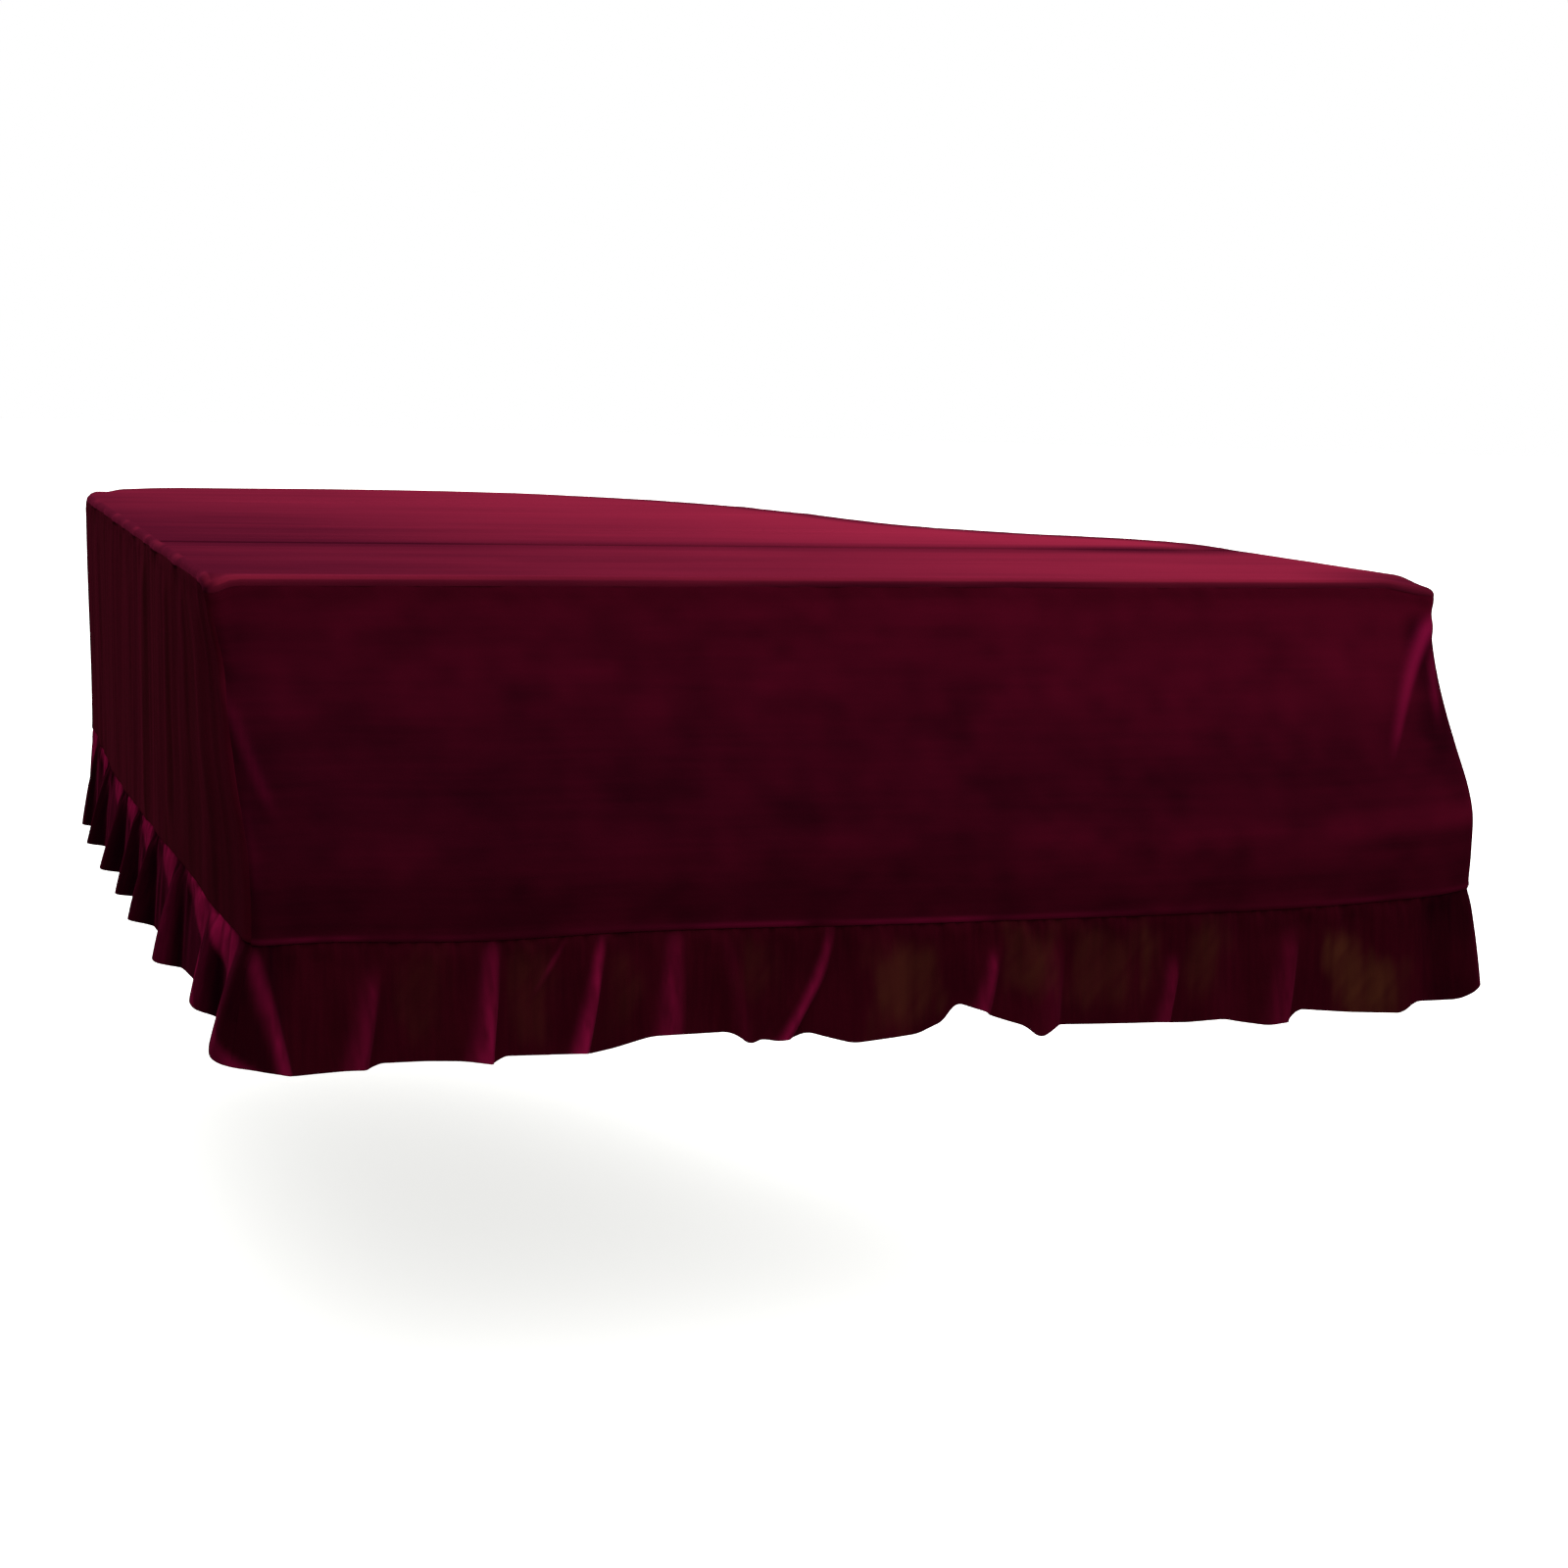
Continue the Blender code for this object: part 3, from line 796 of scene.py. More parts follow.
    def small_folds(self, s: np.ndarray, depth: np.ndarray) -> np.ndarray:
        """Work out the fine uneven folds of the falls: level on the front, upright elsewhere.

        Args:
            s: Distances along the outline.
            depth: Depths below the top panel.

        Returns:
            How far the folds stand out.
        """
        on_front = np.where(s < self.lid.ends[Side.FRONT], 1.0, 0.0)
        level = sum(waves.at(s, depth) for waves in self.level_waves)
        upright = sum(waves.at(s, depth) for waves in self.upright_waves)
        stitched = self.stitched_waves.at(s, depth) * self.below_rim(depth)
        stand = on_front * level + (1.0 - on_front) * upright + stitched
        return stand * self.clear_of_corners(s, self.calm_corner)

    def sag(self, s: np.ndarray, plan: np.ndarray) -> np.ndarray:
        """Work out how far the ruffle's seam hangs below its mean depth.

        Args:
            s: Distances along the outline.
            plan: The plan positions there.

        Returns:
            The drop at each distance, in metres.
        """
        start, end = self.lid.ends[Side.FRONT], self.lid.ends[Side.TAIL]
        on_front = from_table(self.seam_sag_front, plan[..., 0])
        on_spine = from_table(self.seam_sag_spine, plan[..., 1])
        share = ease((s - start) / (end - start))
        around = (1.0 - share) * self.seam_sag_front[-1][1] + share * self.seam_sag_spine[-1][1]
        return np.where(s <= start, on_front, np.where(s >= end, on_spine, around))

    def drawn(self, plan: np.ndarray, depth: np.ndarray) -> np.ndarray:
        """Move plan positions at a depth: forward at the keyboard end, across at its corners.

        Args:
            plan: Plan positions on the outline.
            depth: Depths below the top panel.

        Returns:
            The plan positions of the cloth that hangs there.
        """
        forward = np.clip(1.0 - plan[..., 1] / self.side_pull, 0.0, 1.0) ** 2
        across = np.clip(1.0 - plan[..., 1] / self.side_skew, 0.0, 1.0) ** 2
        share = plan[..., 0] / self.lid.width
        left = from_table(self.corner_skew, depth, 1)
        right = from_table(self.corner_skew, depth, 2)
        lean = self.far_lean * ease((plan[..., 1] - self.far_from) / (self.far_full - self.far_from))
        lean = lean * (1.0 - np.clip(share, 0.0, 1.0)) ** 2 * ease(depth / self.seam_depth)
        x = plan[..., 0] + across * ((1.0 - share) * left + share * right) + lean
        y = plan[..., 1] - forward * from_table(self.front_section, depth)
        return np.stack([x, y], axis=-1)

    def in_frame(self, plan: np.ndarray, depth: np.ndarray) -> np.ndarray:
        """Turn plan positions and depths into points of the frame.

        Args:
            plan: Plan positions, from the lid's front left corner.
            depth: Depths below the middle of the top panel's cloth.

        Returns:
            Points of the frame.
        """
        x = plan[..., 0] - self.lid.width / 2
        y = plan[..., 1] - self.setback
        return np.stack([x, y, self.cloth / 2 - depth], axis=-1)

    def fall_point(self, s: np.ndarray, depth: np.ndarray) -> np.ndarray:
        """Work out where the falls hang.

        Args:
            s: Distances along the outline.
            depth: Depths below the top panel, before the cloth sags.

        Returns:
            Points of the frame.
        """
        base = self.lid.at(s)
        free = ease((depth - self.head) / self.rim_hold)
        moved = self.drawn(base, depth)
        stand = self.folds(s, depth)[0] + self.small_folds(s, depth)
        stand = free * stand + self.point(s) * self.below_rim(depth)
        plan = base + free[..., None] * (moved - base) + self.lid.outward(s) * stand[..., None]
        below = ease((depth - self.head) / (self.seam_depth - self.head))
        return self.in_frame(plan, depth + self.dips(base, depth) + below * self.sag(s, base))

    def hung_s(self, x: float, depth: float | np.ndarray) -> float | np.ndarray:
        """Find the cloth of the keyboard side that hangs at a place across it.

        Args:
            x: The place across the keyboard side.
            depth: The depth, or depths, below the top panel.

        Returns:
            The distance along the outline at which that cloth leaves the rim.
        """
        share = x / self.lid.width
        left = from_table(self.corner_skew, depth, 1)
        right = from_table(self.corner_skew, depth, 2)
        return self.lid.front_s(x - ((1.0 - share) * left + share * right))

    def ridge_rows(self) -> list[tuple[float, float, Ridge]]:
        """List the ruffle's pleats: those given one by one, and those of the hidden sides.

        Returns:
            For each pleat, its places along the outline at the seam and at the hem, and its sizes.
        """
        rows = []
        for ridge in FRONT_RIDGES:
            at_hem = self.hung_s(ridge.at_hem, self.hem_depth) - ridge.lean
            rows.append((self.hung_s(ridge.at_seam, self.seam_depth), at_hem, ridge))
        rows += [(self.lid.spine_s(r.at_seam), self.lid.spine_s(r.at_hem), r) for r in SPINE_RIDGES]
        start = self.lid.ends[Side.FRONT]
        beyond = self.ridge_beyond * self.hidden_width
        for k in range(int((self.lid.ends[Side.TAIL] - start) / self.hidden_pitch) + 1):
            centre = start + (k + self.pleat_place.at(k)) * self.hidden_pitch
            at_hem = centre + self.pleat_slant.at(k) * self.hidden_pitch
            height = self.hidden_ridge * (1.0 + self.pleat_height.at(k)) * (1.0 if k else self.corner_ridge)
            sizes = (self.hidden_width, beyond, height, self.ridge_lean, self.ridge_glow if k else 0.0)
            rows.append((centre, at_hem, Ridge(0.0, 0.0, *sizes)))
        return rows

    def on_front(self, s: np.ndarray) -> np.ndarray:
        """Tell the keyboard side from the rest of the outline.

        Args:
            s: Distances along the outline.

        Returns:
            1 along the keyboard side, falling softly to 0 past its corners.
        """
        middle = self.lid.ends[Side.FRONT] / 2
        past = np.abs(self.lid.offset(s, middle)) - middle
        return ease(1.0 - past / self.corner_blend)

    def hem_extra(self, s: np.ndarray, hem_x: np.ndarray, seam_z: np.ndarray) -> np.ndarray:
        """Return how much further the hem hangs than the ruffle's mean depth.

        Args:
            s: Distances along the outline.
            hem_x: Where the hem's points lie across the frame.
            seam_z: The height of the seam above them.

        Returns:
            The extra depth of the hem, in metres.
        """
        front_end, tail_end = self.lid.ends[Side.FRONT], self.lid.ends[Side.TAIL]
        hem = np.array(HEM_FRONT)
        x = hem_x + self.lid.width / 2
        depths = [np.interp(x + aside, hem[:, 0], hem[:, 1]) for aside in self.hem_soften]
        at_front = np.mean(depths, axis=0) - (self.cloth / 2 - seam_z) - self.ruffle_depth
        at_spine = from_table(HEM_SPINE, self.lid.at(s)[..., 1])
        around = self.hem_waves.at(s) * ease((s - front_end) / self.corner_blend)
        around = around * ease((tail_end - s) / self.corner_blend)
        share = self.on_front(s)
        return share * at_front + (1.0 - share) * np.where(s >= tail_end, at_spine, around)


# ---------------------------------------------------------------- finishes
MIX_FIRST, MIX_SECOND, MIX_RESULT = 6, 7, 2  # the Mix node's sockets where it mixes colours


def linear(code: str) -> tuple[float, float, float, float]:
    """Turn an sRGB hex colour such as '#4a0618' into linear red, green, blue and alpha."""
    channels = [int(code[k : k + 2], 16) / 255 for k in (1, 3, 5)]
    return (*[((c + 0.055) / 1.055) ** 2.4 if c > 0.04045 else c / 12.92 for c in channels], 1.0)


def add_node(
    tree: bpy.types.NodeTree, kind: str, inputs: dict | None = None, **settings: object
) -> bpy.types.Node:
    """Add a shader node.

    Args:
        tree: The material's node tree.
        kind: The node's type name.
        inputs: Socket names or numbers, each with a value or with another node's output to link.
        **settings: The node's own properties.

    Returns:
        The new node.
    """
    node = tree.nodes.new(kind)
    for name, value in settings.items():
        setattr(node, name, value)
    for socket, value in (inputs or {}).items():
        if isinstance(value, bpy.types.NodeSocket):
            tree.links.new(value, node.inputs[socket])
        else:
            node.inputs[socket].default_value = value
    return node


@dataclass(frozen=True)
class CottonVelvet:
    """Cotton velvet: a short cotton pile, woven upright and dense over a plain ground, and dyed.

    Light sinks into the pile where it is seen end on, so a panel faced squarely is nearly black.
    It glances off the sides of the pile where it is seen at a flat angle, so a level panel glows.
    Painted light and shade runs its colour from a shaded to a lit colour, streaked by brushing;
    crests of folds get a painted highlight, and pile crushed for good lets the browner ground show.
    """

    name: str
    # The first two colours are the dark and light ends of painted light and shade; the third is a painted
    # highlight.
    shaded: str
    brushed_and_lit: str
    painted_highlight: str = "#6a0c34"
    ground: str = "#3a1a10"
    # The pile has no polish, so it has no gloss: its sheen is all that it reflects.
    sheen: float = 1.0
    sheen_tint: str = "#701434"
    sheen_roughness: float = 0.35
    roughness: float = 1.0
    specular: float = 0.0
    # Tufts stand 0.3 mm apart, too fine to show, so their grain is drawn at 1.4 mm.
    pile_mm: float = 1.4
    pile_relief_mm: float = 0.3
    pile_detail: float = 2.0
    # Handling crushes the pile in dents about as wide as a fingertip.
    crush_mm: float = 9.0
    crush_relief_mm: float = 0.8
    crush_detail: float = 3.0
    relief: float = 0.35
    # A hand's stroke leaves the pile brushed in patches, and in streaks along the stroke.
    patch_mm: float = 90.0
    patch_height: float = 0.8
    patch_detail: float = 3.0
    patches: float = 0.25
    streak_mm: tuple[float, float] = (160.0, 7.0)
    streak_detail: float = 4.0
    streaks: float = 0.25

    def noise(
        self,
        tree: bpy.types.NodeTree,
        place: bpy.types.NodeSocket,
        size_mm: tuple[float, float],
        detail: float,
    ) -> bpy.types.NodeSocket:
        """Add noise of a real size.

        Args:
            tree: The material's node tree.
            place: Where on the flat cloth, in metres.
            size_mm: The width and height of its blots, in millimetres.
            detail: How many finer layers it has.

        Returns:
            The noise, from 0 to 1.
        """
        scale = (1.0 / (size_mm[0] * MM), 1.0 / (size_mm[1] * MM), 1.0)
        spread = add_node(tree, "ShaderNodeMapping", {"Vector": place, "Scale": scale}).outputs[0]
        sizes = {"Vector": spread, "Scale": 1.0, "Detail": detail}
        return add_node(tree, "ShaderNodeTexNoise", sizes).outputs["Fac"]

    def state(self, tree: bpy.types.NodeTree, name: str) -> bpy.types.NodeSocket:
        """Read a value that the sheet stores at its vertices, such as painted light and shade."""
        return add_node(tree, "ShaderNodeAttribute", attribute_name=name).outputs["Fac"]

    def colour(self, tree: bpy.types.NodeTree, place: bpy.types.NodeSocket) -> bpy.types.NodeSocket:
        """Mix the colour: painted light, shade and highlights, brush streaks and patches, bare ground.

        Each noise runs from 0 to 1 about a half, so adding twice its strength and taking its
        strength away again sways the pile both ways.

        Args:
            tree: The material's node tree.
            place: Where on the flat cloth, in metres.

        Returns:
            The colour.
        """
        patch_size = (self.patch_mm, self.patch_mm * self.patch_height)
        patches = self.noise(tree, place, patch_size, self.patch_detail)
        streaks = self.noise(tree, place, self.streak_mm, self.streak_detail)
        # Painted light and shade, read from the vertices, swayed by the streaks and patches of brushing.
        amount = self.state(tree, "brushed_and_lit")
        for blots, strength in ((patches, self.patches), (streaks, self.streaks)):
            terms = {0: blots, 1: 2.0 * strength, 2: amount}
            amount = add_node(tree, "ShaderNodeMath", terms, operation="MULTIPLY_ADD").outputs[0]
        terms = {0: amount, 1: self.patches + self.streaks}
        amount = add_node(tree, "ShaderNodeMath", terms, operation="SUBTRACT", use_clamp=True).outputs[0]
        shades = {"Factor": amount, MIX_FIRST: linear(self.shaded), MIX_SECOND: linear(self.brushed_and_lit)}
        pile = add_node(tree, "ShaderNodeMix", shades, data_type="RGBA").outputs[MIX_RESULT]
        # Then the painted highlight on crests and lips, and the brown ground.
        for name, shade in (("painted_highlight", self.painted_highlight), ("brown", self.ground)):
            shades = {"Factor": self.state(tree, name), MIX_FIRST: pile, MIX_SECOND: linear(shade)}
            pile = add_node(tree, "ShaderNodeMix", shades, data_type="RGBA").outputs[MIX_RESULT]
        return pile

    def grain(self, tree: bpy.types.NodeTree, place: bpy.types.NodeSocket) -> bpy.types.NodeSocket:
        """Raise the relief of the pile: its dents, and its grain on top of them.

        Args:
            tree: The material's node tree.
            place: Where on the flat cloth, in metres.

        Returns:
            The normal of the surface.
        """
        dents = {
            "Height": self.noise(tree, place, (self.crush_mm, self.crush_mm), self.crush_detail),
            "Strength": self.relief,
            "Distance": self.crush_relief_mm * MM,
        }
        dented = add_node(tree, "ShaderNodeBump", dents).outputs["Normal"]
        tufts = {
            "Height": self.noise(tree, place, (self.pile_mm, self.pile_mm), self.pile_detail),
            "Strength": self.relief,
            "Distance": self.pile_relief_mm * MM,
            "Normal": dented,
        }
        return add_node(tree, "ShaderNodeBump", tufts).outputs["Normal"]

    def material(self) -> bpy.types.Material:
        """Make the finish as a material, once.

        Returns:
            The material.
        """
        if self.name in bpy.data.materials:
            return bpy.data.materials[self.name]
        material = bpy.data.materials.new(self.name)
        material.use_nodes = True
        tree = material.node_tree
        shader = tree.nodes["Principled BSDF"]
        shader.inputs["Roughness"].default_value = self.roughness
        shader.inputs["Specular IOR Level"].default_value = self.specular
        shader.inputs["Sheen Weight"].default_value = self.sheen
        shader.inputs["Sheen Roughness"].default_value = self.sheen_roughness
        shader.inputs["Sheen Tint"].default_value = linear(self.sheen_tint)
        place = add_node(tree, "ShaderNodeUVMap", uv_map="cloth").outputs["UV"]
        tree.links.new(self.colour(tree, place), shader.inputs["Base Color"])
        tree.links.new(self.grain(tree, place), shader.inputs["Normal"])
        return material


# The top lies level, so it glows, and is brushed in long streaks from side to side. Its colours are the lit
# copy of the velvet, painted lighter than the falls'.
TOP_VELVET = CottonVelvet(
    "wine_velvet_top_lit",
    "#2a0410",
    "#781a2f",
    sheen_tint="#6e1a34",
    streak_mm=(400.0, 16.0),
    patch_mm=300.0,
    streaks=0.20,
    patches=0.14,
)
# The falls hang upright, and their colours are a shaded copy of the velvet, painted darker and with a weaker
# sheen; they are mottled by handling.
FALL_VELVET = CottonVelvet(
    "wine_velvet_fall_shaded",
    "#20020a",
    "#460618",
    painted_highlight="#8a113e",
    sheen_tint="#430c1a",
    streak_mm=(180.0, 9.0),
    patch_mm=110.0,
    streaks=0.12,
    patches=0.30,
)
# The ruffles' pile runs down their pleats, so its streaks are upright. Its colours are darker than the
# falls'.
RUFFLE_VELVET = CottonVelvet(
    "wine_velvet_ruffle",
    "#120105",
    "#34040f",
    painted_highlight="#8a113e",
    sheen_tint="#540e26",
    streak_mm=(6.0, 70.0),
)


# ---------------------------------------------------------------- sheets
@dataclass
class Sheet:
    """One cut piece of velvet, as a fine grid of points with its thickness."""

    node: str
    slot: str
    finish: CottonVelvet
    thickness: float = 1.8 * MM
    sharp_angle: float = math.radians(60)
    grid_half: float = 0.5

    def lay_grid(
        self, points: np.ndarray, cloth_uv: np.ndarray, pile: dict[str, np.ndarray]
    ) -> bpy.types.Object:
        """Make a grid whose vertices take the given points.

        Args:
            points: Places of the frame, by row from the top edge down and by column.
            cloth_uv: Metres along and down the flat cloth, in the same order.
            pile: Painted light and shade, painted highlights and brown, each from 0 to 1, in the same order.

        Returns:
            The new object, with its UV map "cloth" and an attribute for each state.
        """
        rows, columns = points.shape[:2]
        bpy.ops.object.select_all(action="DESELECT")
        bpy.ops.mesh.primitive_grid_add(
            x_subdivisions=columns - 1, y_subdivisions=rows - 1, size=2 * self.grid_half
        )
        piece = bpy.context.object
        piece.name = piece.data.name = f"{self.node}_cloth"
        mesh = piece.data
        flat = self.read_points(mesh)
        column = np.rint((flat[:, 0] + self.grid_half) * (columns - 1)).astype(int)
        row = np.rint((self.grid_half - flat[:, 1]) * (rows - 1)).astype(int)
        mesh.vertices.foreach_set("co", points[row, column].astype(np.float32).ravel())
        self.mark(mesh, cloth_uv[row, column], {name: state[row, column] for name, state in pile.items()})
        return piece

    def read_points(self, mesh: bpy.types.Mesh) -> np.ndarray:
        """Read where a mesh's vertices are.

        Args:
            mesh: The mesh.

        Returns:
            Its points, one row a vertex.
        """
        points = np.zeros(len(mesh.vertices) * 3)
        mesh.vertices.foreach_get("co", points)
        return points.reshape(-1, 3)

    def mark(self, mesh: bpy.types.Mesh, cloth_uv: np.ndarray, pile: dict[str, np.ndarray]) -> None:
        """Store the cloth's UV map, and its painted light and shade and other values.

        Args:
            mesh: The mesh of the sheet.
            cloth_uv: Metres along and down the flat cloth, one row a vertex.
            pile: Painted light and shade, painted highlights and brown, one value a vertex.
        """
        for layer in list(mesh.uv_layers):
            mesh.uv_layers.remove(layer)
        layer = mesh.uv_layers.new(name="cloth")
        corners = np.zeros(len(mesh.loops), int)
        mesh.loops.foreach_get("vertex_index", corners)
        layer.data.foreach_set("uv", cloth_uv[corners].astype(np.float32).ravel())
        for name, state in pile.items():
            mesh.attributes.new(name, "FLOAT", "POINT").data.foreach_set("value", state.astype(np.float32))

    def finish_piece(self, piece: bpy.types.Object) -> None:
        """Give the sheet its thickness and finish, and let it stand for its solid.

        Args:
            piece: The sheet, as a grid without thickness.
        """
        wall = piece.modifiers.new("cloth", "SOLIDIFY")
        wall.thickness = self.thickness
        wall.offset = 0.0
        bpy.ops.object.select_all(action="DESELECT")
        piece.select_set(True)
        bpy.context.view_layer.objects.active = piece
        bpy.ops.object.modifier_apply(modifier=wall.name)
        bpy.ops.object.shade_smooth_by_angle(angle=self.sharp_angle)
        piece.data.materials.clear()
        piece.data.materials.append(self.finish.material())
        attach(piece, "root")
        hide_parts(self.node)


@dataclass
class TopPanel(Sheet):
    """The top panel: flat on the lid, with its crease, rolled over the edge all round."""

    drape: Drape = field(default_factory=lambda: Drape(LidOutline()))
    flat_size: tuple[float, float] = (1.56, 1.79)
    flat_area: float = 2.26
    pitch: float = 11.0 * MM
    crease_pitch: float = 3.0 * MM
    bow_from: float = 0.600
    roll_steps: int = 6
    # How the cloth lies on the lid.
    crease_depth: float = 4.5 * MM
    crease_reach: float = 14.0 * MM
    level_waves: tuple[Waves, ...] = (
        Waves(0.7 * MM, 0.50, 0.045, 61, slant=0.4),
        Waves(0.35 * MM, 0.30, 0.020, 62),
    )
    waves_from: float = 30.0 * MM
    waves_fade: float = 100.0 * MM
    crease_calm: float = 60.0 * MM
    waves_before: float = 0.35
    # How the stitches of the seam pucker the rim.
    stitch_waves: Waves = Waves(0.6 * MM, 0.020, 1.0, 66)
    bass_puckers: Waves = Waves(1.1 * MM, 0.045, 1.0, 65)
    pucker_calm: float = 40.0 * MM
    pucker_fade: float = 50.0 * MM
    # Painted light and shade on the flat: lighter towards the treble side, painted shade in bands, at the
    # treble corner and along the bent side's rim, darker near the bass side, and streaks of uneven tone.
    light_level_from: float = 1.2
    band_fade: float = 0.25
    band_evenness: float = 0.85
    band_waves: Waves = Waves(0.35, 0.22, 0.5, 63)
    streak_waves: Waves = Waves(0.05, 0.60, 0.055, 64)
    # How strongly the painted shade darkens the treble corner and the bent side's rim.
    crushed: float = 0.85
    dark_corner: float = 0.200
    # Painted shade along the bent side's rim: where it starts, how wide it is, and how it fades in.
    dark_rim_from: tuple[float, float] = (0.78, 0.30)
    dark_rim: float = 0.080
    dark_rim_edge: float = 1.4
    dark_rim_x: Fade = Fade(0.70, 0.30)
    dark_rim_y: Fade = Fade(0.25, 0.20)
    bass_shade: float = 0.070
    bass_dim: float = 0.20
    # The painted highlight where the cloth starts to turn down over the keyboard side.
    line_glow: float = 0.42
    line_length: float = 0.42
    line_half: float = 30.0 * MM
    line_start: float = 20.0 * MM
    line_rest: float = 0.05
    # Painted light and shade on the rim, by how far it has turned down, and painted highlights on the bass
    # side's puckers.
    rolled_light: float = 0.14
    rolled_from: float = 0.5
    front_turn: Fade = Fade(0.50, 0.28)
    side_turn: float = 0.35
    bead_waves: Waves = Waves(1.8, 0.045, 1.0, 65)
    bead_glow: float = 0.28
    bead_gap: float = 0.2
    bead_at: float = 0.35
    bead_half: float = 0.55

    def stations(self) -> dict[Side, np.ndarray]:
        """Work out where the grid's columns and rows meet the rim.

        Returns:
            Distances along the outline, by side.
        """
        lid, drape = self.drape.lid, self.drape
        half = lid.half_corner
        turn = np.array([0.0, half / 3, half * 2 / 3])
        ends = lid.ends
        straight = spaced(half, ends[Side.FRONT] - half, self.pitch)
        front = np.concatenate([turn, straight, ends[Side.FRONT] - turn[::-1]])
        crease_start = drape.crease_at - drape.crease_half
        before = spaced(lid.corner, crease_start, self.pitch)
        row_y = np.concatenate([before, spaced(crease_start, lid.cheek, self.crease_pitch)[1:]])
        cheek = np.concatenate([ends[Side.FRONT] + turn, ends[Side.FRONT] + half + row_y - lid.corner])
        spans = math.ceil((ends[Side.BENT] - ends[Side.CHEEK]) / self.pitch)
        bent = np.linspace(ends[Side.CHEEK], ends[Side.BENT], spans + 1)
        tail = np.linspace(ends[Side.BENT], ends[Side.TAIL], len(front))
        far = np.linspace(ends[Side.TAIL], lid.spine_s(lid.cheek), spans + 1)
        spine = np.concatenate([far[:-1], lid.spine_s(row_y[::-1]), lid.end - turn[::-1]])
        return dict(zip(Side, [front, cheek, bent, tail, spine]))

    def flat_plan(self, stations: dict[Side, np.ndarray]) -> np.ndarray:
        """Work out the grid of the part that lies on the lid.

        Args:
            stations: Where its columns and rows meet the rim.

        Returns:
            Plan positions, by column and row.
        """
        lid, radius = self.drape.lid, self.drape.edge_radius
        inset = {side: lid.at(s) - radius * lid.outward(s) for side, s in stations.items()}
        front = inset[Side.FRONT]
        right = np.concatenate([inset[Side.CHEEK], inset[Side.BENT][1:]])
        tail = inset[Side.TAIL][::-1]
        left = inset[Side.SPINE][::-1]
        u = ((front[:, 0] - front[0, 0]) / (front[-1, 0] - front[0, 0]))[:, None, None]
        across = (1 - u) * left[None] + u * right[None]
        front_bow = front[:, None] - ((1 - u) * left[0] + u * right[0])
        tail_bow = tail[:, None] - ((1 - u) * left[-1] + u * right[-1])
        into_tail = ease((left[:, 1] - self.bow_from) / (left[-1, 1] - self.bow_from))[None, :, None]
        at_front = np.zeros(len(left))
        at_front[0] = 1.0
        return across + at_front[None, :, None] * front_bow + into_tail * tail_bow

    def level(self, plan: np.ndarray) -> np.ndarray:
        """Work out how far below the lid's plane the cloth lies.

        Args:
            plan: Plan positions.

        Returns:
            The depth at each point.
        """
        x, y = plan[..., 0], plan[..., 1]
        past_crease = y - self.drape.crease_at
        crease = self.crease_depth * hump(past_crease, self.crease_reach)
        inside = ease((x - self.waves_from) / self.waves_fade)
        waves = sum(waves.at(x, y) for waves in self.level_waves)
        behind = ease(past_crease / self.crease_calm)
        before = self.waves_before * ease(-past_crease / self.crease_calm) * ease(y / self.waves_fade)
        return crease + waves * inside * (behind + before) + self.drape.dips(plan, np.zeros(x.shape))

    def dark_along_rim(self, x: np.ndarray, y: np.ndarray) -> np.ndarray:
        """Work out where painted shade lies along the bent side's rim.

        Args:
            x: Places across the lid.
            y: Places along it.

        Returns:
            How strong the painted shade is, from 0 to 1.
        """
        path = self.drape.lid.path
        rim = path[(path[:, 0] > self.dark_rim_from[0]) & (path[:, 1] > self.dark_rim_from[1])]
        away = np.min(np.hypot(x[:, None] - rim[:, 0], y[:, None] - rim[:, 1]), axis=1)
        near = ease(self.dark_rim_edge * (1.0 - away / self.dark_rim))
        return near * self.dark_rim_x.after(x) * self.dark_rim_y.after(y)

    def light_on_lid(self, x: np.ndarray, y: np.ndarray) -> np.ndarray:
        """Work out the painted light and shade on the flat, with streaks of uneven tone.

        Args:
            x: Places across the lid.
            y: Places along it.

        Returns:
            How light the flat is painted at each point.
        """
        width = self.drape.lid.width
        slope = from_table(TOP_LIGHT, y, 2)
        light_level = from_table(TOP_LIGHT, y, 1) + slope * np.clip(x, 0.0, self.light_level_from)
        uneven = self.band_evenness + self.band_waves.at(x, y)
        for band in TOP_BANDS:
            middle = band.at_bass + (band.at_treble - band.at_bass) * x / width
            ends = ease((x - band.start) / self.band_fade) * ease((band.stop - x) / self.band_fade)
            lost = (1.0 - band.keep) * hump(y - middle, band.half_width) * ends * uneven
            light_level = light_level * (1.0 - lost)
        light_level = light_level + self.streak_waves.at(x, y)
        light_level = light_level * (1.0 - self.crushed * hump(np.hypot(x - width, y), self.dark_corner))
        light_level = light_level * (1.0 - self.crushed * self.dark_along_rim(x, y))
        light_level = light_level * (1.0 - self.bass_dim * self.near_bass(x))
        line = self.line_glow * np.clip(1.0 - x / self.line_length, 0.0, 1.0) * ease(x / self.line_start)
        return light_level + (line + self.line_rest) * hump(y, self.line_half)

    def near_bass(self, x: np.ndarray) -> np.ndarray:
        """Return 1 at the bass side's rim, falling to 0 further across the lid."""
        return 1.0 - ease(x / self.bass_shade)

